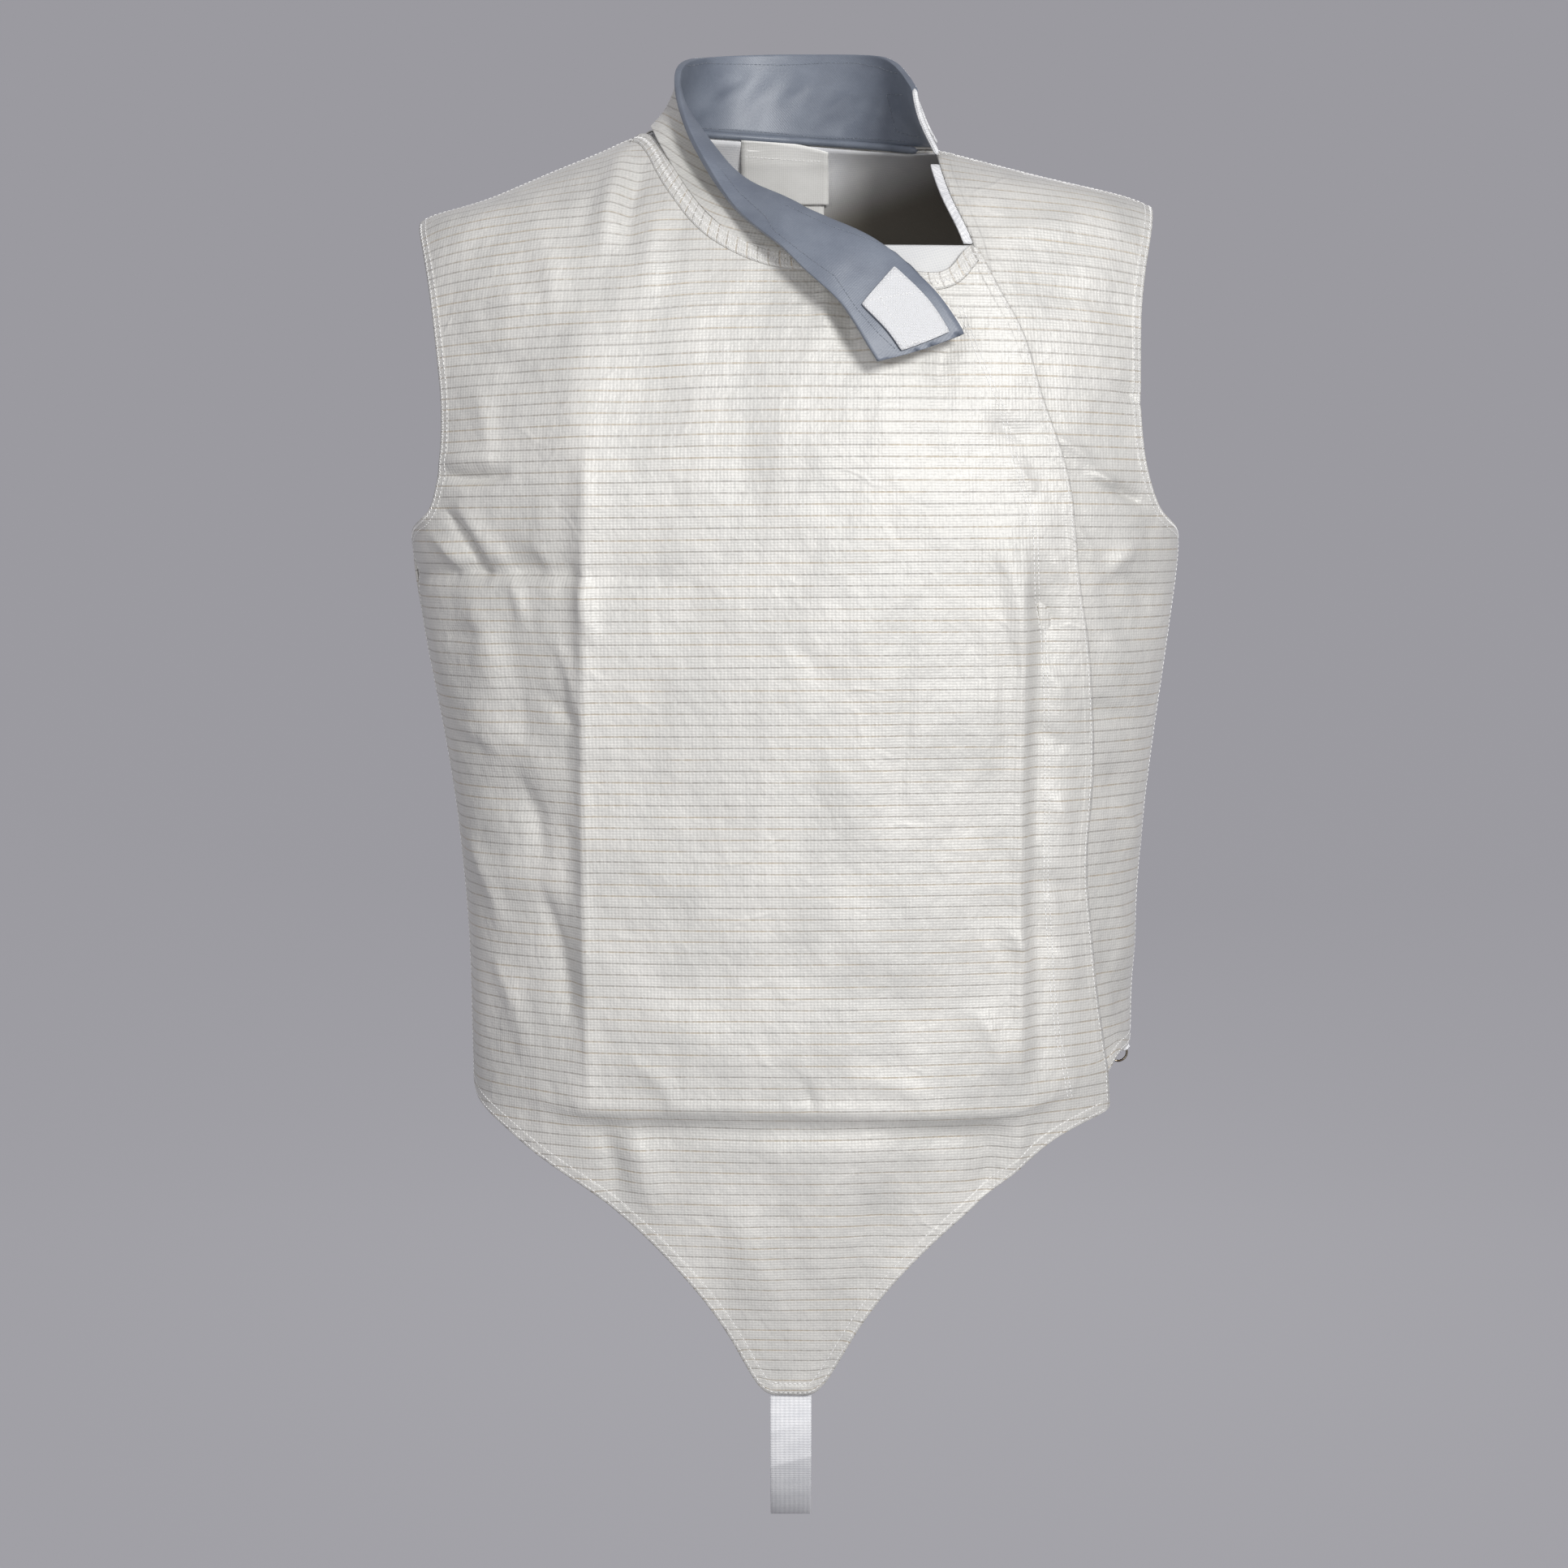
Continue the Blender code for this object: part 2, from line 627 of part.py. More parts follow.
def neck_seam():
    """The line of the collar's base, with the place on it of each station."""
    back, front = curve(BACK_NECKLINE, "across", "height"), curve(FRONT_NECKLINE, "across", "height")
    neck_edge = curve(UNDERLAP, "height", "across")
    count = {seat: COLLAR["seat"].count(seat) for seat in ("edge", "back", "front", "free")}
    height = np.linspace(COLLAR["at"][0], NECK_LEFT[1] - 0.5, 12)
    face = body(neck_edge(height), height, -1)
    path = [seat_on_seam(face, outward(face))]
    across = np.linspace(NECK_LEFT[0], NECK_RIGHT[0], 120)
    face = body(across, back(across), 1)
    path.append(seat_on_seam(face, outward(face)))
    last = COLLAR["at"][-count["free"] - 1]
    across = NECK_RIGHT[0] + (last - NECK_RIGHT[0]) * np.linspace(0, 1, 120) ** 1.6
    face, normal = front_surface(across, front(across))
    path.append(seat_on_seam(face, normal))
    # Past the neckline the base runs on smoothly through the tab's own points
    joint = [path[-1][-30], path[-1][-1]] + list(np.stack([COLLAR_TAB[axis] for axis in "xyz"], -1))
    run_on = [smooth_line([point[k] for point in joint]) for k in range(3)]
    steps = np.linspace(1, len(joint) - 1, 60)[1:]
    tab = np.stack([line(steps) for line in run_on], -1)
    path.append(tab)
    ends = np.cumsum([len(part) for part in path])
    path = np.concatenate(path)
    run = np.concatenate([[0], np.cumsum(np.linalg.norm(np.diff(path, axis=0), axis=-1))])
    places = []
    for seat, at in zip(COLLAR["seat"], COLLAR["at"]):
        first, stop, axis = {
            "edge": (0, ends[0], 2),
            "back": (ends[0], ends[1], 0),
            "front": (ends[1], ends[2], 0),
            "free": (ends[2], ends[3], 0),
        }[seat]
        nearest = first + int(np.argmin(np.abs(path[first:stop, axis] - at)))
        places.append(run[nearest])
    places[0] = 0.0
    return path, run, smooth_line(places)


def collar_lines():
    """The collar's base, fold and edge lines and the fold's share, as smooth curves of the station."""
    path, run, place = neck_seam()
    lines = {"base": lambda s: np.stack([np.interp(place(s), run, path[:, k]) for k in range(3)], -1)}
    for line in ("fold", "edge"):
        curves = [smooth_line(COLLAR[f"{line}_{axis}"]) for axis in "xyz"]
        lines[line] = lambda s, curves=curves: np.stack([c(s) for c in curves], -1)
    lines["share"] = smooth_line(COLLAR["share"])
    return lines, len(COLLAR["share"]) - 1


class Collar:
    """The collar's middle surface, by station along it and distance up from the neck seam."""

    def __init__(self):
        self.lines, self.last = collar_lines()

    def middle(self, station, share):
        """A point at a share of the height, on a curve from the base through the fold to the edge."""
        base, fold, edge = (self.lines[k](station) for k in ("base", "fold", "edge"))
        at = self.lines["share"](station)[..., None]
        pull = (fold - (1 - at) ** 2 * base - at**2 * edge) / (2 * at * (1 - at))
        t = np.asarray(share, float)[..., None]
        # Where the collar is folded back on itself, the two sides stand apart in a rounded bend
        to_base, to_edge = base - fold, edge - fold
        length = np.linalg.norm(to_base, axis=-1) * np.linalg.norm(to_edge, axis=-1)
        closed = np.clip((to_base * to_edge).sum(-1) / length, 0, 1)[..., None]
        apart = FOLD_ROUNDNESS * closed * t * (1 - t) * (t - at) * (edge - base)
        return (1 - t) ** 2 * base + 2 * t * (1 - t) * pull + t * t * edge + apart

    def frame(self, station, share):
        """Point, direction up the collar and normal towards the lining's side."""
        station, share = np.broadcast_arrays(np.asarray(station, float), np.asarray(share, float))
        step = 0.02
        up = self.middle(station, share + step) - self.middle(station, share - step)
        along = self.middle(np.clip(station + step, 0, self.last), share)
        along = along - self.middle(np.clip(station - step, 0, self.last), share)
        up /= np.linalg.norm(up, axis=-1, keepdims=True)
        normal = -np.cross(along, up)
        normal /= np.linalg.norm(normal, axis=-1, keepdims=True)
        return self.middle(station, share), up, normal

    def tall(self, station):
        """The collar's height at a station, measured along the cloth."""
        shares = np.linspace(0, 1, 17)
        points = self.middle(np.full(17, float(station)), shares)
        return float(np.linalg.norm(np.diff(points, axis=0), axis=-1).sum())

    def fold_at(self, station):
        """How far up the cloth the fold lies."""
        shares = np.linspace(0, float(self.lines["share"](station)), 17)
        points = self.middle(np.full(17, float(station)), shares)
        return float(np.linalg.norm(np.diff(points, axis=0), axis=-1).sum())

    def place(self, station, up_distance, out):
        """Points at distances up the cloth and out towards the lining, past the edge too."""
        tall = self.tall(station)
        up_distance, out = np.broadcast_arrays(np.asarray(up_distance, float), np.asarray(out, float))
        shares = np.linspace(0, 1, 33)
        points = self.middle(np.full(33, float(station)), shares)
        run = np.concatenate([[0], np.cumsum(np.linalg.norm(np.diff(points, axis=0), axis=-1))])
        share = np.interp(np.clip(up_distance, 0, tall), run, shares)
        point, up, normal = self.frame(np.full(share.shape, float(station)), share)
        past = (up_distance - np.clip(up_distance, 0, tall))[..., None]
        return point + past * up + normal * out[..., None]


def sweep(name, sections, finish):
    """A closed body from a list of closed sections with the same number of points."""
    sections = np.array(sections)
    count, size = sections.shape[:2]
    faces = []
    for s in range(count - 1):
        for k in range(size):
            a, b = s * size + k, s * size + (k + 1) % size
            faces += [(a, b, b + size), (a, b + size, a + size)]
    faces.append(tuple(range(size))[::-1])
    faces.append(tuple((count - 1) * size + k for k in range(size)))
    return add_object(name, sections.reshape(-1, 3), faces, finish)


def collar():
    shape = Collar()
    stations = np.linspace(0, shape.last, shape.last * COLLAR_COLUMNS_PER_STATION + 1)
    outer, lining = [], []
    half = GAP / 2
    cloth_in, cloth_out = -half, -half - COLLAR_CLOTH
    hem_in, hem_out = cloth_out - GAP, cloth_out - GAP - LINING
    for station in stations:
        tall = shape.tall(station)
        end, low, fold = tall - LINING - GAP, tall - COLLAR_HEM, shape.fold_at(station)
        # The lining starts above the seam, and both layers have the same rows from there, one on the fold
        rise = [LINING_START + (fold - LINING_START) * share for share in ROWS_TO_FOLD]
        rise += [fold + (low - fold) * share for share in ROWS_FROM_FOLD]
        up = [SEAM_START, *rise, end]
        outer.append(
            np.concatenate([shape.place(station, up, cloth_in), shape.place(station, up[::-1], cloth_out)])
        )
        ups = [*rise, end + GAP, end + GAP, low, low, tall - 0.4, tall, tall, tall - 0.4, *rise[::-1]]
        outs = (
            [half] * len(rise)
            + [half, hem_in, hem_in, hem_out, hem_out, hem_out + 0.7, half + 0.5, half + LINING]
            + [half + LINING] * len(rise)
        )
        lining.append(shape.place(station, ups, outs))
    sweep("collar_outer", outer, "silver_lame")
    sweep("collar_lining", lining, "grey_satin")


def patch(name, shape, stations, low, high, out, thick):
    """A patch on the collar, between two stations and two distances up."""
    sections = []
    for station in stations:
        up = np.linspace(low, high, 4)
        sections.append(
            np.concatenate([shape.place(station, up, out), shape.place(station, up[::-1], out + thick)])
        )
    sweep(name, sections, "white_tape")


def collar_patches():
    shape = Collar()
    lining_face = GAP / 2 + LINING
    outer_face = -GAP / 2 - COLLAR_CLOTH
    patch("hook_patch", shape, np.linspace(17.2, 18.85, 5), 10, 41, lining_face + 0.9, PATCH)
    patch("loop_patch", shape, np.linspace(0.1, 2.2, 6), 6, 34, outer_face - 1.1, -PATCH)


def strap():
    """The tape that runs from the tongue under the crotch to the back hem."""
    count = len(STRAP_ROUTE["depth"])
    depth, height = smooth_line(STRAP_ROUTE["depth"]), smooth_line(STRAP_ROUTE["height"])
    fine = np.linspace(0, count - 1, (count - 1) * 2 + 1)
    line = np.stack([depth(fine), height(fine)], -1)
    run = np.gradient(line, axis=0)
    run /= np.linalg.norm(run, axis=1, keepdims=True)
    side = np.stack([-run[:, 1], run[:, 0]], -1)
    middle = sum(TONGUE_END) / 2
    sections = []
    for (y, z), (ny, nz) in zip(line, side):
        corners = [(-1, -1), (1, -1), (1, 1), (-1, 1)]
        sections.append(
            [
                (middle + a * STRAP_WIDTH / 2, y + b * ny * STRAP_THICK / 2, z + b * nz * STRAP_THICK / 2)
                for a, b in corners
            ]
        )
    sweep("crotch_strap", sections, "white_tape")


def ring_frame():
    """Where the loop holds the ring, and the directions away from its centre and along its wire."""
    out = np.array([cos(RING_HELD_AT), 0, sin(RING_HELD_AT)])
    along = np.array([-sin(RING_HELD_AT), 0, cos(RING_HELD_AT)])
    return np.array(RING_CENTRE) + RING_RADIUS * out, out, along


def ring():
    held, _, _ = ring_frame()
    sections, sides = 24, 8
    points, faces = [], []
    for i in range(sections):
        turn = 2 * pi * i / sections
        for k in range(sides):
            lean = 2 * pi * (k + 0.5) / sides
            reach = RING_RADIUS + WIRE_RADIUS * cos(lean)
            points.append((reach * cos(turn), WIRE_RADIUS * sin(lean), reach * sin(turn)))
            a, b = i * sides + k, i * sides + (k + 1) % sides
            c, d = ((i + 1) % sections) * sides + k, ((i + 1) % sections) * sides + (k + 1) % sides
            faces.append((a, b, d, c))
    add_object("ring", np.array(points) + RING_CENTRE, faces, "steel", held)


def ring_loop():
    """A tape folded round the ring's wire, with both ends sewn in at the left front's corner."""
    held, out, along = ring_frame()
    top = np.array(LOOP_TOP)
    middle = LOOP_INNER + LOOP_THICK / 2

    def tail(share):
        """The tape's middle line and the direction across it, from the wire up to its sewn end."""
        start, pull = held + out * middle * 1.15, np.array(LOOP_BEND)
        line = (1 - share) ** 2 * start + 2 * share * (1 - share) * pull + share**2 * top
        width = (1 - share) * along + share * np.array([-1.0, 0, 0])
        return line, width / np.linalg.norm(width)

    deep = np.array([0.0, 1.0, 0.0])
    rows = []
    for share in np.linspace(1, 0, 5):
        line, width = tail(share)
        rows.append((line + deep * LOOP_APART / 2, width, deep))
    for turn in np.linspace(radians(60), radians(300), 11):
        way = cos(turn) * out + sin(turn) * deep
        rows.append((held + middle * way, along, way))
    for share in np.linspace(0, 1, 5):
        line, width = tail(share)
        rows.append((line - deep * LOOP_APART / 2, width, -deep))
    sections = []
    for point, width, way in rows:
        corners = [(-1, -1), (1, -1), (1, 1), (-1, 1)]
        sections.append([point + width * a * LOOP_WIDTH / 2 + way * b * LOOP_THICK / 2 for a, b in corners])
    sweep("ring_loop", sections, "white_tape")


def main():
    clear_scene()
    front_panel()
    neck_edge = left_front_panel()
    fly_facing(neck_edge)
    neck_binding(neck_edge)
    back_panel()
    neck_labels()
    collar()
    collar_patches()
    strap()
    ring_loop()
    ring()


main()
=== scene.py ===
import math

import bpy
import numpy as np
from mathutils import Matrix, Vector
from mathutils.bvhtree import BVHTree


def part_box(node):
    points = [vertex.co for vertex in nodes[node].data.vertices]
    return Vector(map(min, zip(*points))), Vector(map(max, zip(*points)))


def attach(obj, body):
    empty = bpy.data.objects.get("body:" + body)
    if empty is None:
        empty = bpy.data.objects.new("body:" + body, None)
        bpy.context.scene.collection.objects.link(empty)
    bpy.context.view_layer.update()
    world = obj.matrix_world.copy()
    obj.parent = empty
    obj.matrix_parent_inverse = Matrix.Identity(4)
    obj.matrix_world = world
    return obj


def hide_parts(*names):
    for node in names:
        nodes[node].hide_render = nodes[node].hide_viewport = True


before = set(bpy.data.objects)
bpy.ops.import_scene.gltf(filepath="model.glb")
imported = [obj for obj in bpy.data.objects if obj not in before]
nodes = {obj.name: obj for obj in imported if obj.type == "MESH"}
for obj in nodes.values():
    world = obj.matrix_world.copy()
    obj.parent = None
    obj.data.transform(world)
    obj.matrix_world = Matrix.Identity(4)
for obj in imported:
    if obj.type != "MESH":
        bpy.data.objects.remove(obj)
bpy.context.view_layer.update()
mm = 0.001


def hexColour(code):
    # sRGB hex to the linear colour that the shader wants
    parts = [int(code[i:i + 2], 16) / 255 for i in (0, 2, 4)]
    return tuple(c / 12.92 if c <= 0.04045 else ((c + 0.055) / 1.055) ** 2.4 for c in parts) + (1.0,)


def addNode(tree, kind, inputs=None, give=0, **settings):
    # one shader node with its settings, values and links, of which one output is given back
    node = tree.nodes.new("ShaderNode" + kind)
    for name, value in settings.items():
        setattr(node, name, value)
    for socket, value in (inputs or {}).items():
        if isinstance(value, bpy.types.NodeSocket):
            tree.links.new(value, node.inputs[socket])
        else:
            node.inputs[socket].default_value = value
    return node.outputs[give] if len(node.outputs) else None


smooth = {"interpolation_type": "SMOOTHSTEP"}      # for a value that eases from one level to another
colours = {"data_type": "RGBA", "give": 2}         # for a mix of two colours


def startMaterial(name):
    material = bpy.data.materials.new(name)
    material.use_nodes = True
    material.node_tree.nodes.clear()
    return material, material.node_tree


def clothGrain(tree, noises):
    # across and up the cloth in metres, from the grain laid on each piece, and the noises that follow it:
    # so many bumps to the metre across and up, their detail and their roughness
    place = addNode(tree, "UVMap", uv_map="grain")
    across = addNode(tree, "SeparateXYZ", {0: place})
    grain = {"place": place, "across": across, "up": across.node.outputs[1]}
    for name, (wide, high, detail, rough) in noises.items():
        scaled = addNode(tree, "Mapping", {"Vector": place, "Scale": (wide, high, 1.0)})
        look = {"Vector": scaled, "Scale": 1.0, "Detail": detail, "Roughness": rough}
        grain[name] = addNode(tree, "TexNoise", look)
    return grain


def threads(tree, *ways):
    # an even weave from -1 to 1: threads along each way, so many mm apart
    weave = 0.0
    for way, apart in ways:
        thread = addNode(tree, "Math", {0: way, 1: 2000 * math.pi / apart}, operation="MULTIPLY")
        thread = addNode(tree, "Math", {0: thread}, operation="SINE")
        weave = addNode(tree, "Math", {0: thread, 1: 1 / len(ways), 2: weave}, operation="MULTIPLY_ADD")
    return weave


lame = {
    "colour": "DAD8D2", "shade": "C5C4BF", "line": "8E8880", "warmLine": "A89678",
    "linePitch": 6.75, "lineWide": 0.13, "lineWander": 1.1, "lineStrength": 0.62,
    "ribAcross": 2.05, "ribUp": 1.6875,      # real ribs are about 1.2 and 1.3 mm apart, drawn coarser to show
    "metallic": 0.15, "roughness": 0.52, "hemWide": 6.5, "crumple": 6.0, "ridge": 0.04, "relief": 0.42,
    "noises": {
        "wander": (9.0, 26.0, 2.0, 0.55), "glint": (420.0, 40.0, 4.0, 0.7), "cloud": (22.0, 13.0, 4.0, 0.55),
        "speck": (620.0, 700.0, 2.0, 0.6), "warmth": (14.0, 60.0, 2.0, 0.55),
        "ridge": (13.0, 17.0, 2.0, 0.55),
        "crumple": (21.0, 15.0, 5.0, 0.5), "pucker": (130.0, 130.0, 2.0, 0.55),
    },
}


def silverLame(name="silver lame", hemmed=True):
    # Polyester woven with steel thread: softly silver, with fine ribs and thin dark steel lines across
    material, tree = startMaterial(name)
    noises = {key: noise for key, noise in lame["noises"].items() if hemmed or key != "pucker"}
    grain = clothGrain(tree, noises)
    wander = {0: grain["wander"], 1: lame["lineWander"] * mm, 2: grain["up"]}
    height = addNode(tree, "Math", wander, operation="MULTIPLY_ADD")
    turn = addNode(tree, "Math", {0: height, 1: 1000 / lame["linePitch"]}, operation="MULTIPLY")
    turn = addNode(tree, "Math", {0: turn}, operation="FRACT")
    away = addNode(tree, "Math", {0: turn, 1: 0.5}, operation="SUBTRACT")
    away = addNode(tree, "Math", {0: away}, operation="ABSOLUTE")
    core, fringe = lame["lineWide"] * 0.3, lame["lineWide"] * 0.72
    line = addNode(tree, "MapRange", {0: away, 1: core, 2: fringe, 3: 1.0, 4: 0.0}, **smooth)
    # painted glints: the dark steel lines are lightened in short streaks, where the steel thread catches
    # light
    broken = addNode(tree, "MapRange", {0: grain["glint"], 1: 0.3, 2: 0.62, 3: 0.42, 4: 1.0}, **smooth)
    line = addNode(tree, "Math", {0: line, 1: broken}, operation="MULTIPLY")
    weave = threads(tree, (grain["across"], lame["ribAcross"]), (height, lame["ribUp"]))
    tone = 0.0
    for value, weight in ((weave, 0.13), (grain["cloud"], 0.9), (grain["speck"], 0.45)):
        tone = addNode(tree, "Math", {0: value, 1: weight, 2: tone}, operation="MULTIPLY_ADD")
    pale = addNode(tree, "MapRange", {0: tone, 1: 0.35, 2: 1.0}, **smooth)
    tones = {0: pale, 6: hexColour(lame["shade"]), 7: hexColour(lame["colour"])}
    base = addNode(tree, "Mix", tones, **colours)
    warm = addNode(tree, "MapRange", {0: grain["warmth"], 1: 0.42, 2: 0.6}, **smooth)
    pair = {0: warm, 6: hexColour(lame["line"]), 7: hexColour(lame["warmLine"])}
    steel = addNode(tree, "Mix", pair, **colours)
    drawn = addNode(tree, "Math", {0: line, 1: lame["lineStrength"]}, operation="MULTIPLY")
    colour = addNode(tree, "Mix", {0: drawn, 6: base, 7: steel}, **colours)
    reliefs = [(weave, 0.22), (line, -0.35), (grain["speck"], 0.5)]
    if hemmed:
        # the turned hem stands a little proud, and its stitching puckers the cloth
        edge = addNode(tree, "Attribute", give=2, attribute_name="rim")
        inner, outer = (lame["hemWide"] - 0.7) * mm, (lame["hemWide"] + 0.7) * mm
        hem = addNode(tree, "MapRange", {0: edge, 1: inner, 2: outer, 3: 1.0, 4: 0.0}, **smooth)
        near = addNode(tree, "MapRange", {0: edge, 1: 0.0, 2: 0.016, 3: 1.0, 4: 0.0}, **smooth)
        pucker = addNode(tree, "Math", {0: grain["pucker"], 1: near}, operation="MULTIPLY")
        reliefs += [(pucker, 3.0), (hem, 1.1)]
    relief = 0.0
    for value, weight in reliefs:
        relief = addNode(tree, "Math", {0: value, 1: weight, 2: relief}, operation="MULTIPLY_ADD")
    # soft crumples from wear, with a crisp ridge here and there
    ridge = addNode(tree, "Math", {0: grain["ridge"], 1: 0.5}, operation="SUBTRACT")
    ridge = addNode(tree, "Math", {0: ridge}, operation="ABSOLUTE")
    ridge = addNode(tree, "MapRange", {0: ridge, 1: 0.0, 2: 0.035, 3: 1.0, 4: 0.0}, **smooth)
    patches = addNode(tree, "MapRange", {0: grain["cloud"], 1: 0.5, 2: 0.62}, **smooth)
    ridge = addNode(tree, "Math", {0: ridge, 1: patches}, operation="MULTIPLY")
    crumple = {0: ridge, 1: lame["ridge"], 2: grain["crumple"]}
    crumple = addNode(tree, "Math", crumple, operation="MULTIPLY_ADD")
    wear = addNode(tree, "Bump", {"Height": crumple, "Distance": lame["crumple"] * mm, "Strength": 1.0})
    bump = addNode(tree, "Bump", {
        "Height": relief, "Distance": lame["relief"] * mm, "Strength": 0.75, "Normal": wear,
    })
    shader = addNode(tree, "BsdfPrincipled", {
        "Base Color": colour, "Metallic": lame["metallic"], "Roughness": lame["roughness"],
        "Normal": bump, "Sheen Weight": 0.25, "Sheen Roughness": 0.4,
    })
    addNode(tree, "OutputMaterial", {0: shader})
    return material


satin = {
    "colour": "7A818C", "shade": "676E7A", "gloss": "9198A1", "roughness": 0.42, "relief": 0.18,
    "twill": 1.6,      # real twill is far finer, drawn so coarse that it shows
    "noises": {"cloud": (38.0, 60.0, 4.0, 0.55), "fuzz": (900.0, 900.0, 2.0, 0.55)},
}


def greySatin():
    # Polyester satin: smooth blue-grey with a long soft sheen and a faint fine twill
    material, tree = startMaterial("grey satin")
    grain = clothGrain(tree, satin["noises"])
    slant = addNode(tree, "Math", {0: grain["across"], 1: grain["up"]}, operation="ADD")
    twill = threads(tree, (slant, satin["twill"]))
    tone = 0.0
    for value, weight in ((twill, 0.05), (grain["cloud"], 0.8), (grain["fuzz"], 0.3)):
        tone = addNode(tree, "Math", {0: value, 1: weight, 2: tone}, operation="MULTIPLY_ADD")
    pale = addNode(tree, "MapRange", {0: tone, 1: 0.3, 2: 0.85}, **smooth)
    pair = {0: pale, 6: hexColour(satin["shade"]), 7: hexColour(satin["colour"])}
    colour = addNode(tree, "Mix", pair, **colours)
    relief = addNode(tree, "Math", {0: twill, 1: 0.12, 2: grain["fuzz"]}, operation="MULTIPLY_ADD")
    bump = addNode(tree, "Bump", {"Height": relief, "Distance": satin["relief"] * mm, "Strength": 0.5})
    shader = addNode(tree, "BsdfPrincipled", {
        "Base Color": colour, "Roughness": satin["roughness"], "Normal": bump,
        "Sheen Weight": 0.35, "Sheen Roughness": 0.3, "Sheen Tint": hexColour(satin["gloss"]),
    })
    addNode(tree, "OutputMaterial", {0: shader})
    return material


# White cloths: two tones, threads so many mm apart across and up (coarser than real ones, so that they show),
# relief in mm, roughness and clouds to the metre. Painted shade that comes in down the piece has a slant, a
# colour and steps: from height, to height, how much
whites = {
    "lining": {
        "name": "white polyester lining", "bright": "EDEDEC", "dull": "D6D7DA",
        "threads": (1.5, 1.5), "relief": 0.1, "rough": 0.62, "cloudy": 24.0,
        # painted shade: the lining darkens more and more below the neck, where the inside of the garment lies
        # in shade
        "down": {"slant": -0.35, "colour": "5C574D", "steps": [(-0.014, -0.062, 1.0)]},
    },
    "facing": {
        "name": "white polyester facing", "bright": "D9D9D6", "dull": "C6C7C8",
        "threads": (1.5, 1.5), "relief": 0.1, "rough": 0.6, "cloudy": 24.0,
    },
    "label": {
        "name": "white label satin", "bright": "F4F3EF", "dull": "E2E1DC",
        "threads": (1.3, 0.9), "relief": 0.06, "rough": 0.5, "cloudy": 24.0,
    },
    # thick ribs across, small threads along, and painted shade in two bands where it bends under the tongue
    "webbing": {
        "name": "white webbing", "bright": "F6F6F6", "dull": "DCDDDF",
        "threads": (2.1, 1.9), "relief": 0.3, "rough": 0.7, "cloudy": 60.0,
        "down": {
            "slant": -0.3, "colour": "6F7074", "steps": [(-0.803, -0.806, 0.22), (-0.779, -0.782, 0.10)],
        },
    },
    "elastic": {
        "name": "white elastic tape", "bright": "F4F4F3", "dull": "CFD0D2",
        "threads": (1.2, 1.6), "relief": 0.5, "rough": 0.75, "cloudy": 110.0,
    },
}


def wovenWhite(cloth):
    # White polyester: plain threads both ways, matt, a little uneven in tone
    material, tree = startMaterial(cloth["name"])
    grain = clothGrain(tree, {
        "cloud": (cloth["cloudy"], cloth["cloudy"] * 1.3, 3.0, 0.55), "fuzz": (1100.0, 1100.0, 2.0, 0.55),
    })
    weave = threads(tree, (grain["across"], cloth["threads"][0]), (grain["up"], cloth["threads"][1]))
    tone = 0.0
    for value, weight in ((weave, 0.14), (grain["cloud"], 0.7), (grain["fuzz"], 0.35)):
        tone = addNode(tree, "Math", {0: value, 1: weight, 2: tone}, operation="MULTIPLY_ADD")
    pale = addNode(tree, "MapRange", {0: tone, 1: 0.3, 2: 0.8}, **smooth)
    pair = {0: pale, 6: hexColour(cloth["dull"]), 7: hexColour(cloth["bright"])}
    colour = addNode(tree, "Mix", pair, **colours)
    # painted shade: darker towards the bottom, below the given heights
    if "down" in cloth:
        across = addNode(tree, "SeparateXYZ", {0: addNode(tree, "TexCoord", give="Object")})
        slanted = {0: across, 1: cloth["down"]["slant"], 2: across.node.outputs[2]}
        height = addNode(tree, "Math", slanted, operation="MULTIPLY_ADD")
        share = 0.0
        for start, end, much in cloth["down"]["steps"]:
            step = addNode(tree, "MapRange", {0: height, 1: start, 2: end}, **smooth)
            share = addNode(tree, "Math", {0: step, 1: much, 2: share}, operation="MULTIPLY_ADD")
        colour = addNode(tree, "Mix", {0: share, 6: colour, 7: hexColour(cloth["down"]["colour"])}, **colours)
    relief = addNode(tree, "Math", {0: weave, 1: 0.6, 2: grain["fuzz"]}, operation="MULTIPLY_ADD")
    bump = addNode(tree, "Bump", {"Height": relief, "Distance": cloth["relief"] * mm, "Strength": 0.7})
    shader = addNode(tree, "BsdfPrincipled", {
        "Base Color": colour, "Roughness": cloth["rough"], "Normal": bump, "Sheen Weight": 0.2,
    })
    addNode(tree, "OutputMaterial", {0: shader})
    return material


hooks = {"ground": "CFD0D1", "tips": "EEEEED", "apart": 1.4, "relief": 0.4, "roughness": 0.6}


def hookTapeWhite():
    # Nylon hook tape: a white ground with close rows of tiny hooks, drawn 1.4 mm apart so that they show
    material, tree = startMaterial("white hook tape")
    grain = clothGrain(tree, {"cloud": (70.0, 70.0, 3.0, 0.55)})
    close = 1000 / hooks["apart"]
    scaled = addNode(tree, "Mapping", {"Vector": grain["place"], "Scale": (close, close, 1.0)})
    rows = addNode(tree, "TexVoronoi", {"Vector": scaled, "Scale": 1.0, "Randomness": 0.35})
    knob = addNode(tree, "MapRange", {0: rows, 1: 0.1, 2: 0.5, 3: 1.0, 4: 0.0}, **smooth)
    light = addNode(tree, "Math", {0: knob, 1: 0.8}, operation="MULTIPLY")
    pair = {0: light, 6: hexColour(hooks["ground"]), 7: hexColour(hooks["tips"])}
    colour = addNode(tree, "Mix", pair, **colours)
    relief = addNode(tree, "Math", {0: grain["cloud"], 1: 0.5, 2: knob}, operation="MULTIPLY_ADD")
    bump = addNode(tree, "Bump", {"Height": relief, "Distance": hooks["relief"] * mm, "Strength": 0.8})
    shader = addNode(tree, "BsdfPrincipled", {
        "Base Color": colour, "Roughness": hooks["roughness"], "Normal": bump,
    })
    addNode(tree, "OutputMaterial", {0: shader})
    return material


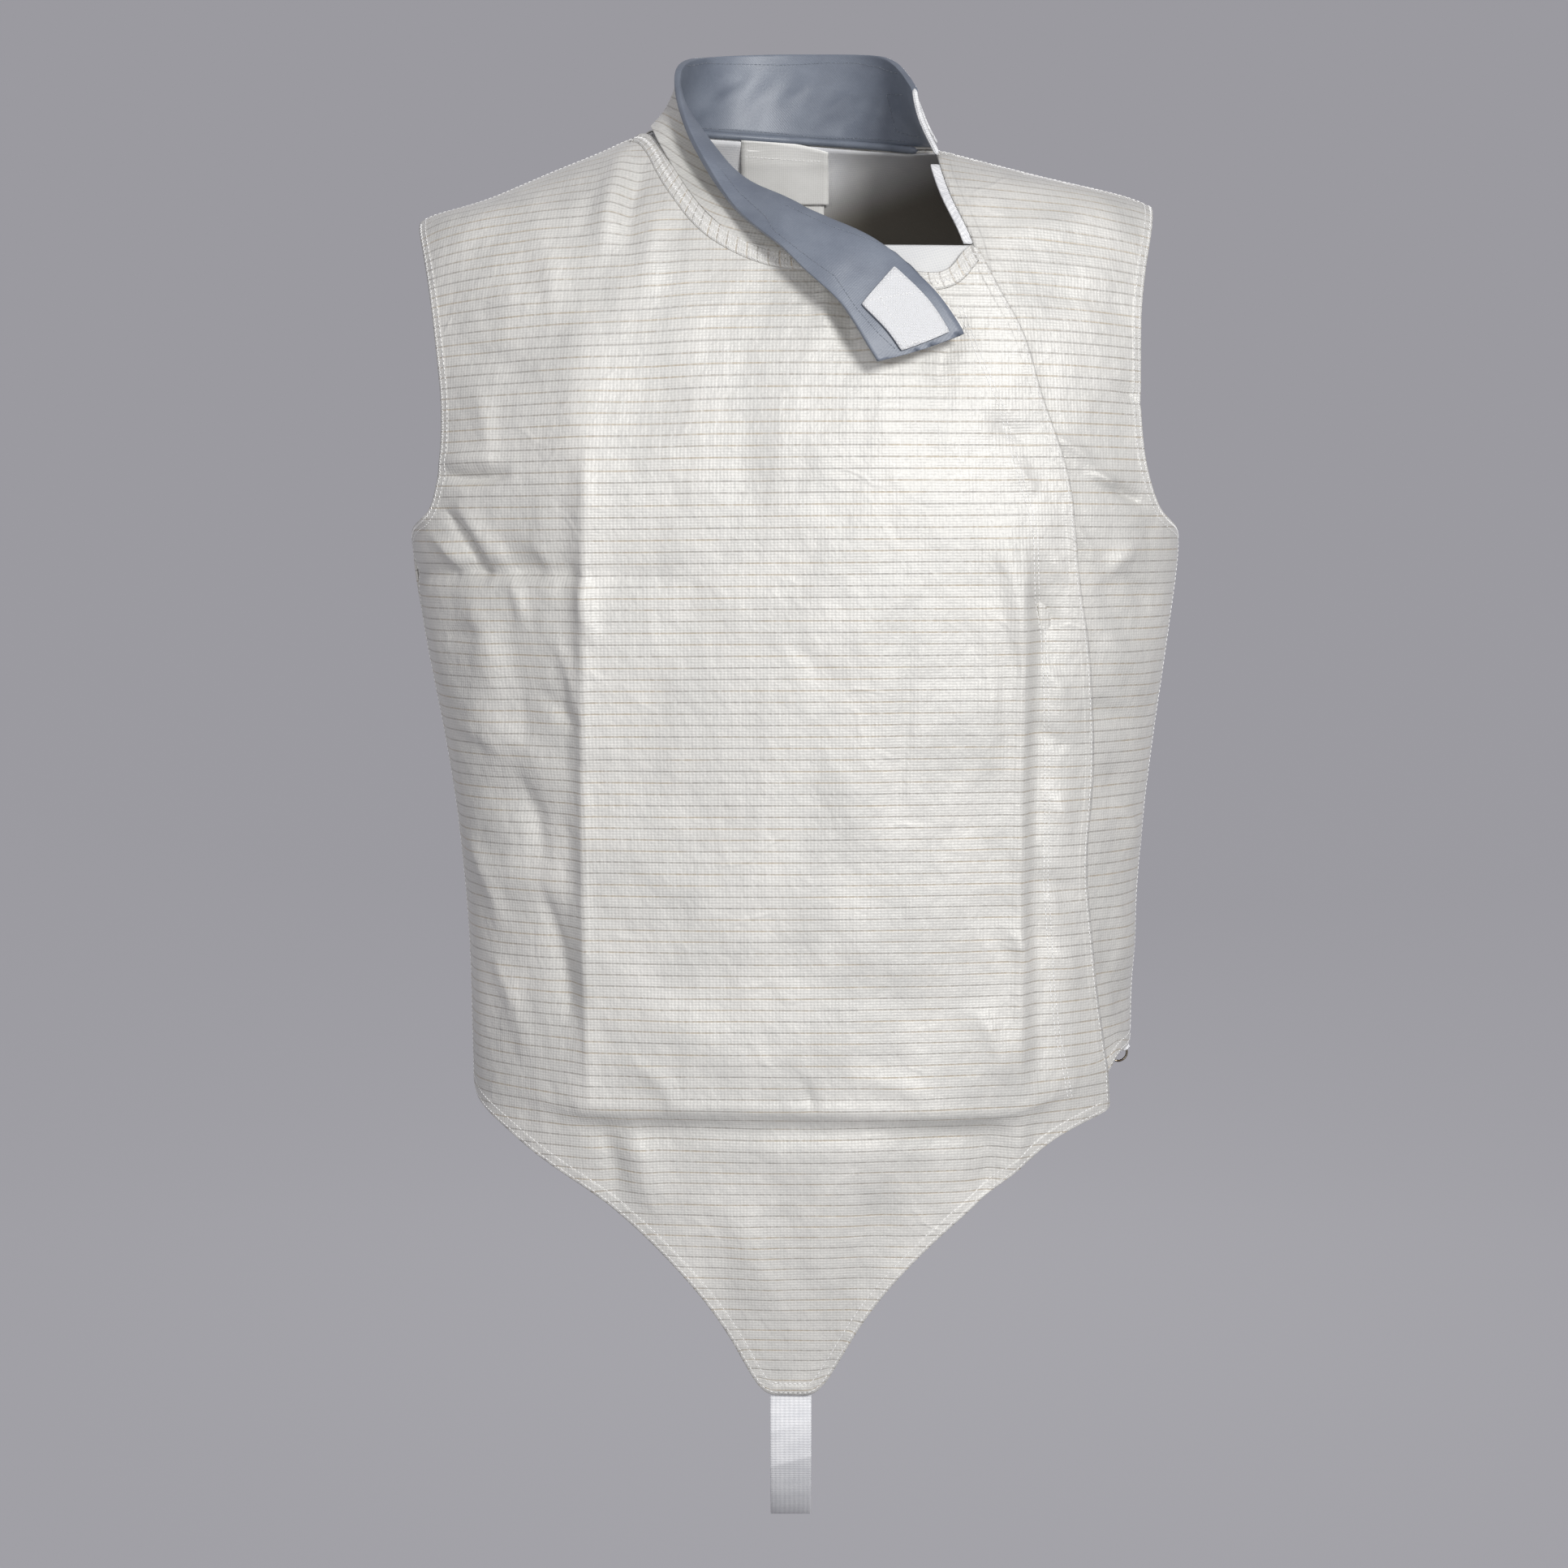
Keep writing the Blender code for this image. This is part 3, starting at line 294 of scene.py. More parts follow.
def polyesterThread(name, code, glint):
    # Spun polyester sewing thread: bright, a little glossy, with twisted strands
    material, tree = startMaterial(name)
    where = addNode(tree, "TexCoord", give="Object")
    twist = addNode(tree, "TexNoise", {"Vector": where, "Scale": 1500.0, "Detail": 2.0})
    light = addNode(tree, "MapRange", {0: twist, 1: 0.35, 2: 0.65}, **smooth)
    colour = addNode(tree, "Mix", {0: light, 6: hexColour(code), 7: hexColour(glint)}, **colours)
    bump = addNode(tree, "Bump", {"Height": twist, "Distance": 0.1 * mm, "Strength": 0.5})
    shader = addNode(tree, "BsdfPrincipled", {
        "Base Color": colour, "Roughness": 0.5, "Normal": bump, "Sheen Weight": 0.3,
    })
    addNode(tree, "OutputMaterial", {0: shader})
    return material


# both steel tones are dark and brown as painted reflection of dark surroundings; the dull spots between them
# are wear
wire = {"bright": "9A9080", "dull": "4E4438", "gloss": (0.16, 0.34)}


def springSteel():
    # Drawn spring-steel wire: polished, with faint draw marks and a few duller spots from use
    material, tree = startMaterial("spring steel wire")
    where = addNode(tree, "TexCoord", give="Object")
    spots = addNode(tree, "TexNoise", {"Vector": where, "Scale": 350.0, "Detail": 4.0})
    marks = addNode(tree, "TexNoise", {"Vector": where, "Scale": 2600.0, "Detail": 2.0})
    worn = addNode(tree, "MapRange", {0: spots, 1: 0.45, 2: 0.65}, **smooth)
    pair = {0: worn, 6: hexColour(wire["bright"]), 7: hexColour(wire["dull"])}
    colour = addNode(tree, "Mix", pair, **colours)
    sharp, soft = wire["gloss"]
    rough = addNode(tree, "MapRange", {0: spots, 1: 0.4, 2: 0.7, 3: sharp, 4: soft}, **smooth)
    bump = addNode(tree, "Bump", {"Height": marks, "Distance": 0.03 * mm, "Strength": 0.4})
    shader = addNode(tree, "BsdfPrincipled", {
        "Base Color": colour, "Metallic": 1.0, "Roughness": rough, "Normal": bump,
    })
    addNode(tree, "OutputMaterial", {0: shader})
    return material


materials = {name: wovenWhite(cloth) for name, cloth in whites.items()}
materials["lame"] = silverLame()
materials["lameTape"] = silverLame("silver lame tape", hemmed=False)
materials["satin"] = greySatin()
materials["hooks"] = hookTapeWhite()
materials["thread"] = polyesterThread("silver grey thread", "E4E3DF", "FFFFFF")
materials["greyThread"] = polyesterThread("grey thread", "5A616C", "888F99")
materials["steel"] = springSteel()
print("materials are ready")


def pickOnly(piece):
    bpy.ops.object.select_all(action="DESELECT")
    bpy.context.view_layer.objects.active = piece
    piece.select_set(True)


def readPoints(piece):
    points = np.empty(len(piece.data.vertices) * 3)
    piece.data.vertices.foreach_get("co", points)
    return points.reshape(-1, 3)


def readNormals(piece):
    normals = np.empty(len(piece.data.vertices) * 3)
    piece.data.vertices.foreach_get("normal", normals)
    return normals.reshape(-1, 3)


def setPoints(piece, points):
    piece.data.vertices.foreach_set("co", points.ravel())
    piece.data.update()


def faceFacts(piece):
    # each face's middle, direction and shortest edge
    centres, normals, shortest = [], [], []
    points = [v.co for v in piece.data.vertices]
    for face in piece.data.polygons:
        corners = [points[i] for i in face.vertices]
        centres.append(face.center[:])
        normals.append(face.normal[:])
        shortest.append(min((a - b).length for a, b in zip(corners, corners[1:] + corners[:1])))
    return np.array(centres), np.array(normals), np.array(shortest)


def copyOf(nodeName, pieceName):
    # the CAD solid's mesh in one skin of quads, as a new piece
    piece = nodes[nodeName].copy()
    piece.data = nodes[nodeName].data.copy()
    piece.parent = None
    piece.name = piece.data.name = pieceName
    for key in [key for key in piece.keys() if key.startswith("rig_")]:
        del piece[key]
    bpy.context.scene.collection.objects.link(piece)
    piece.hide_render = piece.hide_viewport = False
    pickOnly(piece)
    bpy.ops.object.mode_set(mode="EDIT")
    bpy.ops.mesh.select_all(action="SELECT")
    bpy.ops.mesh.remove_doubles(threshold=0.02 * mm)
    bpy.ops.mesh.select_all(action="SELECT")
    bpy.ops.mesh.customdata_custom_splitnormals_clear()
    bpy.ops.mesh.tris_convert_to_quads(
        face_threshold=math.radians(60), shape_threshold=math.pi, topology_influence=1.5,
    )
    bpy.ops.object.mode_set(mode="OBJECT")
    piece.data.materials.clear()
    return piece


def keepFaces(piece, kept):
    # deletes every face that isn't in the list
    pickOnly(piece)
    bpy.ops.object.mode_set(mode="EDIT")
    bpy.ops.mesh.select_all(action="DESELECT")
    bpy.ops.mesh.select_mode(type="FACE")
    bpy.ops.object.mode_set(mode="OBJECT")
    for face, keep in zip(piece.data.polygons, kept):
        face.select = not keep
    bpy.ops.object.mode_set(mode="EDIT")
    bpy.ops.mesh.delete(type="FACE")
    bpy.ops.object.mode_set(mode="OBJECT")


def outerSkin(nodeName, pieceName):
    # only the face of the cloth that looks out of the garment
    piece = copyOf(nodeName, pieceName)
    centres, normals, shortest = faceFacts(piece)
    axis = np.zeros_like(centres)
    axis[:, 2] = np.clip(centres[:, 2], -0.6, -0.1)
    outwards = ((centres - axis) * normals).sum(1) > 0
    keepFaces(piece, outwards & (shortest > 1.55 * mm))
    return piece


def acrossBody(normals, front):
    # the direction across the cloth, level round the body and straight over the shoulders
    level = 1 - np.abs(normals[:, 2])
    over = normals[:, 2] ** 2 * (1 if front else -1)
    return np.stack([-normals[:, 1] * level + over, normals[:, 0] * level, 0 * level], -1)


def layGrain(piece, across, anchor, towards=None):
    # u runs across and v up the cloth, in metres of cloth, with both as true as the shape allows
    # a slab has two faces, so what counts as up on it is given as well
    points, normals = readPoints(piece), readNormals(piece)
    across = across - normals * (across * normals).sum(1, keepdims=True)
    across /= np.linalg.norm(across, axis=1, keepdims=True) + 1e-9
    upwards = np.cross(normals, across)
    if towards is not None:
        upwards *= np.where((upwards * towards).sum(1) < 0, -1.0, 1.0)[:, None]
    pairs = np.array([edge.vertices[:] for edge in piece.data.edges])
    step = points[pairs[:, 1]] - points[pairs[:, 0]]
    count = len(points)
    links = np.zeros((count, count))
    np.add.at(links, (pairs[:, 0], pairs[:, 1]), -1.0)
    np.add.at(links, (pairs[:, 1], pairs[:, 0]), -1.0)
    links[np.arange(count), np.arange(count)] = -links.sum(1)
    links += np.eye(count) * 1e-7
    nearest = int(np.argmin(np.linalg.norm(points - np.array(anchor) * mm, axis=1)))
    flat = []
    for way, start in ((across, points[nearest, 0]), (upwards, points[nearest, 2])):
        run = (step * (way[pairs[:, 0]] + way[pairs[:, 1]]) / 2).sum(1)
        right = np.zeros(count)
        np.add.at(right, pairs[:, 1], run)
        np.add.at(right, pairs[:, 0], -run)
        value = np.linalg.solve(links, right)
        flat.append(value - value[nearest] + start)
    layer = piece.data.uv_layers.new(name="grain")
    corners = np.empty(len(piece.data.loops), int)
    piece.data.loops.foreach_get("vertex_index", corners)
    layer.data.foreach_set("uv", np.stack(flat, -1)[corners].ravel())
    piece.data.uv_layers.active = layer


def creaseLayer(piece):
    layers = piece.data.attributes
    return layers.get("crease_edge") or layers.new("crease_edge", "FLOAT", "EDGE")


def crispEdges(piece, test, amount):
    # keeps pressed edges sharp under the subdivision
    points = readPoints(piece) / mm
    crease = creaseLayer(piece)
    for edge in piece.data.edges:
        a, b = (points[i] for i in edge.vertices)
        if test(a) and test(b):
            crease.data[edge.index].value = amount


def addModifier(piece, kind, **settings):
    modifier = piece.modifiers.new(kind.lower(), kind)
    for name, value in settings.items():
        setattr(modifier, name, value)
    pickOnly(piece)
    bpy.ops.object.modifier_apply(modifier=modifier.name)


def foldCloth(piece, folds, amount=1.0, facing=None, only=None):
    # raises or sinks the cloth along the listed folds: from and to, wide and high in mm, and how sharp
    # both faces of a slab move the way that facing gives, and only the points between two depths move
    points, normals = readPoints(piece), readNormals(piece)
    across, up = points[:, 0] / mm, points[:, 2] / mm
    if facing is not None:
        normals *= np.where((normals * facing(points)).sum(1) < 0, -1.0, 1.0)[:, None]
    rise = np.zeros(len(points))
    for x1, z1, x2, z2, wide, high, sharp in folds:
        run = np.array([x2 - x1, z2 - z1])
        length = float(np.hypot(*run)) or 1.0
        run = run / length
        along = (across - x1) * run[0] + (up - z1) * run[1]
        share = np.clip(along / length, 0, 1)
        bend = 1 if (x1 + z1) % 2 < 1 else -1
        bow = 0.06 * min(length, 35) * np.sin(math.pi * share) * bend
        aside = -(across - x1) * run[1] + (up - z1) * run[0] - bow
        past = np.maximum(np.maximum(-along, along - length), 0)
        fade = np.exp(-((past / (0.9 * wide)) ** 2)) * (0.35 + 0.65 * np.sin(math.pi * share) ** 0.6)
        soft, crisp = np.exp(-((aside / wide) ** 2)), np.exp(-np.abs(aside) / (0.6 * wide))
        rise += amount * high * fade * (crisp * sharp + soft * (1 - sharp))
    if only is not None:
        depth = points[:, 1] / mm
        rise *= np.clip((depth - only[0]) / 8, 0, 1) * np.clip((only[1] - depth) / 8, 0, 1)
    setPoints(piece, points + normals * (rise * mm)[:, None])


def forwards(points):
    return np.tile((0.0, -1.0, 0.0), (len(points), 1))


def outwards(points):
    return points * (1, 1, 0)


def markRim(piece):
    # each point's distance from the cut edge, for the hem in the material
    count = np.zeros(len(piece.data.edges), int)
    index = {tuple(sorted(edge.vertices)): edge.index for edge in piece.data.edges}
    for face in piece.data.polygons:
        for key in face.edge_keys:
            count[index[tuple(sorted(key))]] += 1
    rim = sorted({i for edge in piece.data.edges if count[edge.index] == 1 for i in edge.vertices})
    points = readPoints(piece)
    edge = points[rim]
    away = np.empty(len(points))
    for start in range(0, len(points), 4000):
        part = points[start:start + 4000]
        away[start:start + 4000] = np.sqrt(((part[:, None] - edge[None]) ** 2).sum(-1).min(1))
    layer = piece.data.attributes.new("rim", "FLOAT", "POINT")
    layer.data.foreach_set("value", away)


def dress(piece, *finishes):
    for finish in finishes:
        piece.data.materials.append(materials[finish])
    pickOnly(piece)
    bpy.ops.object.shade_smooth()


def surfaceOf(piece):
    return BVHTree.FromObject(piece, bpy.context.evaluated_depsgraph_get())


class Seam:
    # a run of a piece's cut edge, that stitches and tapes follow at a distance inside it

    def __init__(self, piece, start, end, via):
        self.surface = surfaceOf(piece)
        uses = {}
        for face in piece.data.polygons:
            for key in face.edge_keys:
                uses.setdefault(tuple(sorted(key)), []).append(face.index)
        chain, faceBy = {}, {}
        for (a, b), faces in uses.items():
            if len(faces) == 1:
                chain.setdefault(a, []).append(b)
                chain.setdefault(b, []).append(a)
                faceBy[a] = faceBy[b] = faces[0]
        first = next(iter(chain))
        loop, last, here = [first], None, first
        while True:
            ways = [i for i in chain[here] if i != last]
            last, here = here, ways[0]
            if here == first:
                break
            loop.append(here)
        points = readPoints(piece)[loop]
        toFace = np.array([piece.data.polygons[faceBy[i]].center[:] for i in loop]) - points
        at = [int(np.argmin(np.linalg.norm(points - np.array(p) * mm, axis=1))) for p in (start, end, via)]
        count = len(loop)
        onward = [(at[0] + k) % count for k in range((at[1] - at[0]) % count + 1)]
        back = [(at[0] - k) % count for k in range((at[0] - at[1]) % count + 1)]
        order = onward if at[2] in onward else back
        self.points, self.inwards = points[order], toFace[order]

    def inset(self, distance, spacing, trim=0.0):
        # points and normals on the cloth, along the edge at a distance inside it, evenly spaced, in mm
        points = self.points
        tangent = np.gradient(points, axis=0)
        tangent /= np.linalg.norm(tangent, axis=1, keepdims=True) + 1e-12
        row = []
        for point, along, toFace in zip(points, tangent, self.inwards):
            normal = self.surface.find_nearest(Vector(point))[1]
            inward = np.cross(np.array(normal), along)
            inward *= 1 if (inward * toFace).sum() > 0 else -1
            place = point + inward * distance * mm
            row.append(place if distance < 0 else np.array(self.surface.find_nearest(Vector(place))[0]))
        row = np.array(row)
        run = np.concatenate([[0], np.cumsum(np.linalg.norm(np.diff(row, axis=0), axis=1))])
        steps = np.arange(trim * mm, run[-1] - trim * mm, spacing * mm)
        line = np.stack([np.interp(steps, run, row[:, k]) for k in range(3)], -1)
        found = [self.surface.find_nearest(Vector(p)) for p in line]
        places = line if distance < 0 else np.array([f[0][:] for f in found])
        return places, np.array([f[1][:] for f in found])


def onCloth(piece, route, spacing, fromDepth=-500):
    # the same for a route that is given, as across and height, seen from the front at that depth
    surface = surfaceOf(piece)
    route = np.array(route, float)
    run = np.concatenate([[0], np.cumsum(np.hypot(*np.diff(route, axis=0).T))])
    steps = np.arange(0, run[-1], spacing)
    smooth = [np.interp(steps, run, route[:, k]) for k in (0, 1)]
    points, normals = [], []
    for x, z in zip(*smooth):
        spot = surface.ray_cast(Vector((x * mm, fromDepth * mm, z * mm)), Vector((0, 1, 0)))
        if spot[0] is not None:
            points.append(spot[0][:])
            normals.append(spot[1][:])
    return np.array(points), np.array(normals)


stitch = {"long": 2.3, "thick": 0.5, "spacing": 2.9, "lift": 0.12}


def stitchShape():
    # one stitch: a small long bead of thread, modelled once
    bpy.ops.object.select_all(action="DESELECT")
    bpy.ops.mesh.primitive_ico_sphere_add(subdivisions=1, radius=0.5)
    bead = bpy.context.object
    points = readPoints(bead)
    faces = [tuple(face.vertices) for face in bead.data.polygons]
    bpy.data.objects.remove(bead)
    return points, faces


beadPoints, beadFaces = stitchShape()


class Sewing:
    # gathers stitches and makes them one piece

    def __init__(self):
        self.points, self.faces = [], []

    def through(self, line, normals, fill=0.8, thick=None):
        # a thread that dips in and out at each point of the line
        thick = (thick or stitch["thick"]) * mm
        for a, b, normal in zip(line[:-1], line[1:], normals[:-1]):
            along = b - a
            length = float(np.linalg.norm(along))
            if length < 0.3 * mm or length > 12 * mm:
                continue
            along = along / length
            side = np.cross(normal, along)
            side /= np.linalg.norm(side) + 1e-12
            up = np.cross(along, side)
            start = len(self.points) * len(beadPoints)
            middle = (a + b) / 2 + up * stitch["lift"] * mm
            size = np.array([length * fill * 1.15, thick, thick])
            placed = beadPoints * size
            self.points.append(middle + placed[:, :1] * along + placed[:, 1:2] * side + placed[:, 2:] * up)
            self.faces += [tuple(start + i for i in face) for face in beadFaces]

    def zigzag(self, line, normals, wide):
        # a zigzag row as wide as given, in mm
        along = np.gradient(line, axis=0)
        side = np.cross(normals, along)
        side /= np.linalg.norm(side, axis=1, keepdims=True) + 1e-12
        swing = np.where(np.arange(len(line)) % 2 == 0, 1.0, -1.0)[:, None] * wide / 2 * mm
        self.through(line + side * swing, normals, fill=0.92)

    def piece(self, name, finish="thread"):
        mesh = bpy.data.meshes.new(name)
        mesh.from_pydata(np.concatenate(self.points).tolist(), [], self.faces)
        sewn = bpy.data.objects.new(name, mesh)
        bpy.context.scene.collection.objects.link(sewn)
        dress(sewn, finish)
        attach(sewn, "garment")
        print(name, len(self.faces), "faces")
        return sewn


print("tools are ready")

# Camera as the photo: level with the armpits, a little over two metres off, tilted down five degrees
camera = {"place": (-0.0052, -2.118, -0.2075), "tiltPixels": 371, "focalPixels": 4237, "imagePixels": 1932}
bpy.ops.object.camera_add(location=camera["place"])
shot = bpy.context.object
shot.rotation_euler = (math.pi / 2 - math.atan(camera["tiltPixels"] / camera["focalPixels"]), 0, 0)
shot.data.sensor_width = 36
shot.data.lens = 36 * camera["focalPixels"] / camera["imagePixels"]
bpy.context.scene.camera = shot

# Pressed edges: the two upright creases and the one across the belly where the tongue tilts back
press = {
    "right": -120, "left": 136, "from": -572, "rightTo": -185, "leftTo": -245,
    "step": [(-160, -570), (-134, -580), (0, -585), (123, -583), (150, -574)],
}


def onStep(point):
    level = np.interp(point[0], *zip(*press["step"]))
    return abs(point[0]) < 162 and abs(point[2] - level) < 7


# Folds of the front: from across, height, to across, height, wide, high, sharp
frontFolds = [
    (-122, -572, -121, -190, 5, 1.2, 0.9),         # pressed upright on the right, the cloth sunk beside it
    (-134, -560, -132, -200, 9, -1.2, 0.1),
    (-156, -575, -158, -270, 20, -1.5, 0.0),
    (136, -562, 136, -250, 5, 1.5, 0.8),           # the one on the left
    (148, -560, 148, -255, 9, -2.6, 0.1),
    (-128, -578, 120, -582, 4, 1.5, 0.8),          # belly crease over the tongue
    (-124, -592, 118, -594, 9, -2.2, 0.1),
    (150, -250, 158, -262, 5, 1.2, 0.3),           # puckers along the closure
    (142, -276, 156, -292, 5, -1.1, 0.3),
    (150, -316, 160, -334, 6, 1.1, 0.3),
    (146, -352, 162, -364, 5, -1.2, 0.3),
    (152, -392, 164, -410, 6, 1.0, 0.3),
    (148, -440, 166, -452, 6, -1.2, 0.3),
    (156, -486, 170, -504, 6, 1.1, 0.3),
    (128, -196, 140, -214, 6, 1.0, 0.3),
    (118, -172, 134, -182, 6, -1.0, 0.3),
    (-206, -203, -170, -202, 4.5, -2.8, 0.5),      # short drag line out of the right armhole
    (-206, -196, -176, -194, 6, 1.2, 0.2),
    (-206, -226, -184, -260, 5, -3.2, 0.6),        # slanting crease under the armpit
    (-196, -226, -174, -262, 7, 1.6, 0.2),
    (-228, -262, -121, -261, 6, -2.9, 0.5),        # press crease across at the armpits
    (-121, -261, -70, -264, 7, -0.9, 0.4),
    (-180, -249, -130, -252, 9, -1.3, 0.1),
    (-152, -244, -144, -260, 4, 1.2, 0.3),
    (-175, -246, -168, -258, 4, 0.9, 0.3),
    (-190, -280, -178, -330, 10, 1.5, 0.1),
    (-172, -300, -160, -362, 12, -1.3, 0.1),
    (-205, -330, -150, -372, 9, 1.2, 0.2),
    (-186, -390, -140, -410, 12, -1.2, 0.1),
    (-190, -440, -134, -452, 11, 1.0, 0.1),
    (-150, -470, -128, -540, 12, -1.0, 0.1),
    (-124, -255, -116, -300, 5, 1.5, 0.4),         # jog of the upright crease
    (-112, -70, -100, -10, 8, 1.6, 0.1),           # pulls at the neck seam's shoulder end
    (-96, -64, -90, -22, 6, -1.4, 0.2),
    (-86, -96, -74, -40, 9, 1.2, 0.1),
    (18, -118, 22, -88, 5, 1.0, 0.2),              # puckers under the collar
    (34, -128, 36, -94, 6, -1.2, 0.2),
    (48, -140, 44, -104, 6, 1.3, 0.2),
    (84, -150, 100, -110, 8, -1.4, 0.1),
    (66, -300, 60, -400, 6, -0.8, 0.5),            # faint uprights on the belly
    (112, -280, 116, -370, 7, 1.0, 0.2),
    (0, -302, 14, -318, 5, -0.6, 0.5),
    (124, -246, 132, -300, 8, 1.6, 0.2),
    (146, -268, 158, -330, 9, -1.3, 0.1),
    (128, -470, 142, -500, 6, 1.4, 0.4),
    (140, -420, 156, -470, 8, 1.0, 0.1),
    (8, -563, 14, -578, 4, -1.0, 0.6),             # small nick over the belly crease
    (-90, -520, -40, -540, 16, 1.0, 0.0),
    (20, -500, 70, -516, 18, -0.9, 0.0),
    (-112, -596, -106, -634, 7, -1.5, 0.3),        # creases of the tongue
    (-98, -590, -84, -640, 9, 1.3, 0.1),
    (136, -590, 130, -622, 7, 1.5, 0.3),
    (118, -598, 112, -640, 8, -1.3, 0.2),
    (-40, -640, -10, -700, 14, 1.0, 0.0),
    (60, -620, 36, -690, 14, -1.0, 0.0),
    (-180, -100, -150, -104, 9, 1.0, 0.1),
    (-196, -130, -160, -142, 8, -0.9, 0.1),
    (-60, -180, 40, -186, 20, 0.8, 0.0),
    (-214, -240, -196, -262, 4, 1.5, 0.3),         # small ones on the right side, under the arm
    (-168, -262, -160, -290, 4, 1.4, 0.3),
    (-208, -300, -186, -296, 5, -1.3, 0.2),
    (-200, -352, -176, -366, 5, 1.2, 0.3),
    (-168, -380, -150, -430, 6, -1.5, 0.2),
    (-196, -420, -176, -470, 6, 1.3, 0.2),
    (-152, -448, -136, -520, 6, -1.6, 0.3),
    (-182, -490, -160, -548, 6, 1.2, 0.2),
    (-140, -300, -128, -340, 4, 1.3, 0.3),
    (-152, -330, -130, -350, 5, -1.2, 0.2),
    (-188, -150, -180, -190, 7, 0.9, 0.1),
    (-150, -60, -138, -110, 9, 0.8, 0.1),
    (-30, -160, -22, -230, 12, -0.7, 0.0),
    (110, -520, 128, -560, 6, 1.1, 0.3),
    (-96, -548, -70, -572, 6, 0.9, 0.2),
    (40, -556, 84, -574, 7, 0.9, 0.2),
    (-110, -150, -60, -164, 16, -0.8, 0.0),
]

# Folds of the left front: from across, height, to across, height, wide, high, sharp
leftFolds = [
    (150, -180, 176, -196, 4, 1.3, 0.3),
    (164, -232, 182, -262, 5, 1.5, 0.3),
    (196, -262, 214, -282, 4, -1.3, 0.3),
    (176, -340, 204, -352, 6, -1.2, 0.2),
    (196, -400, 210, -430, 5, 1.2, 0.3),
    (186, -500, 204, -530, 6, -1.1, 0.2),
    (176, -202, 192, -212, 4, 2.4, 0.5),           # short drag lines out of the left armhole
    (188, -210, 208, -219, 4.5, -2.9, 0.5),
    (186, -262, 204, -246, 6, 1.5, 0.3),
    (192, -150, 206, -160, 4, -1.2, 0.5),
    (170, -240, 200, -300, 9, -1.3, 0.1),
    (184, -300, 214, -330, 9, 1.2, 0.1),
    (182, -380, 206, -396, 10, -1.1, 0.1),
    (190, -450, 206, -500, 9, 1.1, 0.1),
    (130, -60, 180, -52, 9, 0.9, 0.1),
    (150, -96, 196, -104, 8, -0.9, 0.1),
]

# Folds of the back, like those of the front
backFolds = [
    (-122, -556, -122, -190, 7, 1.2, 0.9),
    (126, -540, 126, -200, 7, 1.1, 0.9),
    (-205, -262, 205, -266, 7, -1.4, 0.6),
    (-206, -226, -180, -262, 6, 1.6, 0.4),
    (206, -222, 182, -258, 6, 1.5, 0.4),
    (-190, -306, -96, -322, 10, 1.4, 0.1),
    (-140, -342, -40, -334, 12, -1.2, 0.1),
    (30, -318, 130, -338, 11, 1.3, 0.1),
    (110, -366, 196, -344, 10, -1.3, 0.1),
    (-170, -404, -120, -446, 12, 1.2, 0.1),
    (140, -420, 176, -470, 12, 1.1, 0.1),
    (-60, -470, 30, -486, 16, 0.9, 0.0),
    (-30, -100, 40, -108, 18, 0.9, 0.0),
    (-160, -110, -120, -150, 12, -1.0, 0.1),
    (120, -96, 160, -140, 12, 1.0, 0.1),
    (-40, -28, -28, -90, 8, 0.8, 0.1),
    (50, -30, 40, -96, 8, 0.8, 0.1),
    (0, -560, 6, -500, 9, -0.9, 0.1),
]

panel = {"levels": 3, "cloth": 1.4, "foldScale": 2.3, "keptFaces": 0.8}


def makePanel(nodeName, pieceName, front, folds, crisp):
    piece = outerSkin(nodeName, pieceName)
    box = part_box(nodeName)
    anchor = (0, (box[0].y if front else box[1].y) / mm, -300)
    layGrain(piece, acrossBody(readNormals(piece), front), anchor)
    for test, amount in crisp:
        crispEdges(piece, test, amount)
    addModifier(piece, "SUBSURF", levels=panel["levels"], render_levels=panel["levels"])
    foldCloth(piece, folds, panel["foldScale"])
    markRim(piece)
    return piece


frontPanel = makePanel("front_panel", "frontPanel", True, frontFolds, [
    (lambda p: abs(p[0] - press["right"] + 2) < 7 and press["from"] < p[2] < press["rightTo"], 0.75),
    (lambda p: abs(p[0] - press["left"] - 2) < 7 and press["from"] < p[2] < press["leftTo"], 0.7),
    (onStep, 0.85),
])
leftFront = makePanel("left_front_panel", "leftFront", True, leftFolds, [])
backPanel = makePanel("back_panel", "backPanel", False, backFolds, [])

# The left front's slanting hem is drawn up a little over the ring: where across, how wide and high, and below
# which height it begins and over how much, in mm
hemLift = {"at": 199, "wide": 7, "high": 4.8, "below": -535, "over": 20}
points = readPoints(leftFront)
beside = np.exp(-(((points[:, 0] / mm - hemLift["at"]) / hemLift["wide"]) ** 2))
down = np.clip((hemLift["below"] - points[:, 2] / mm) / hemLift["over"], 0, 1)
points[:, 2] += hemLift["high"] * mm * beside * down
setPoints(leftFront, points)
print("panels are folded")

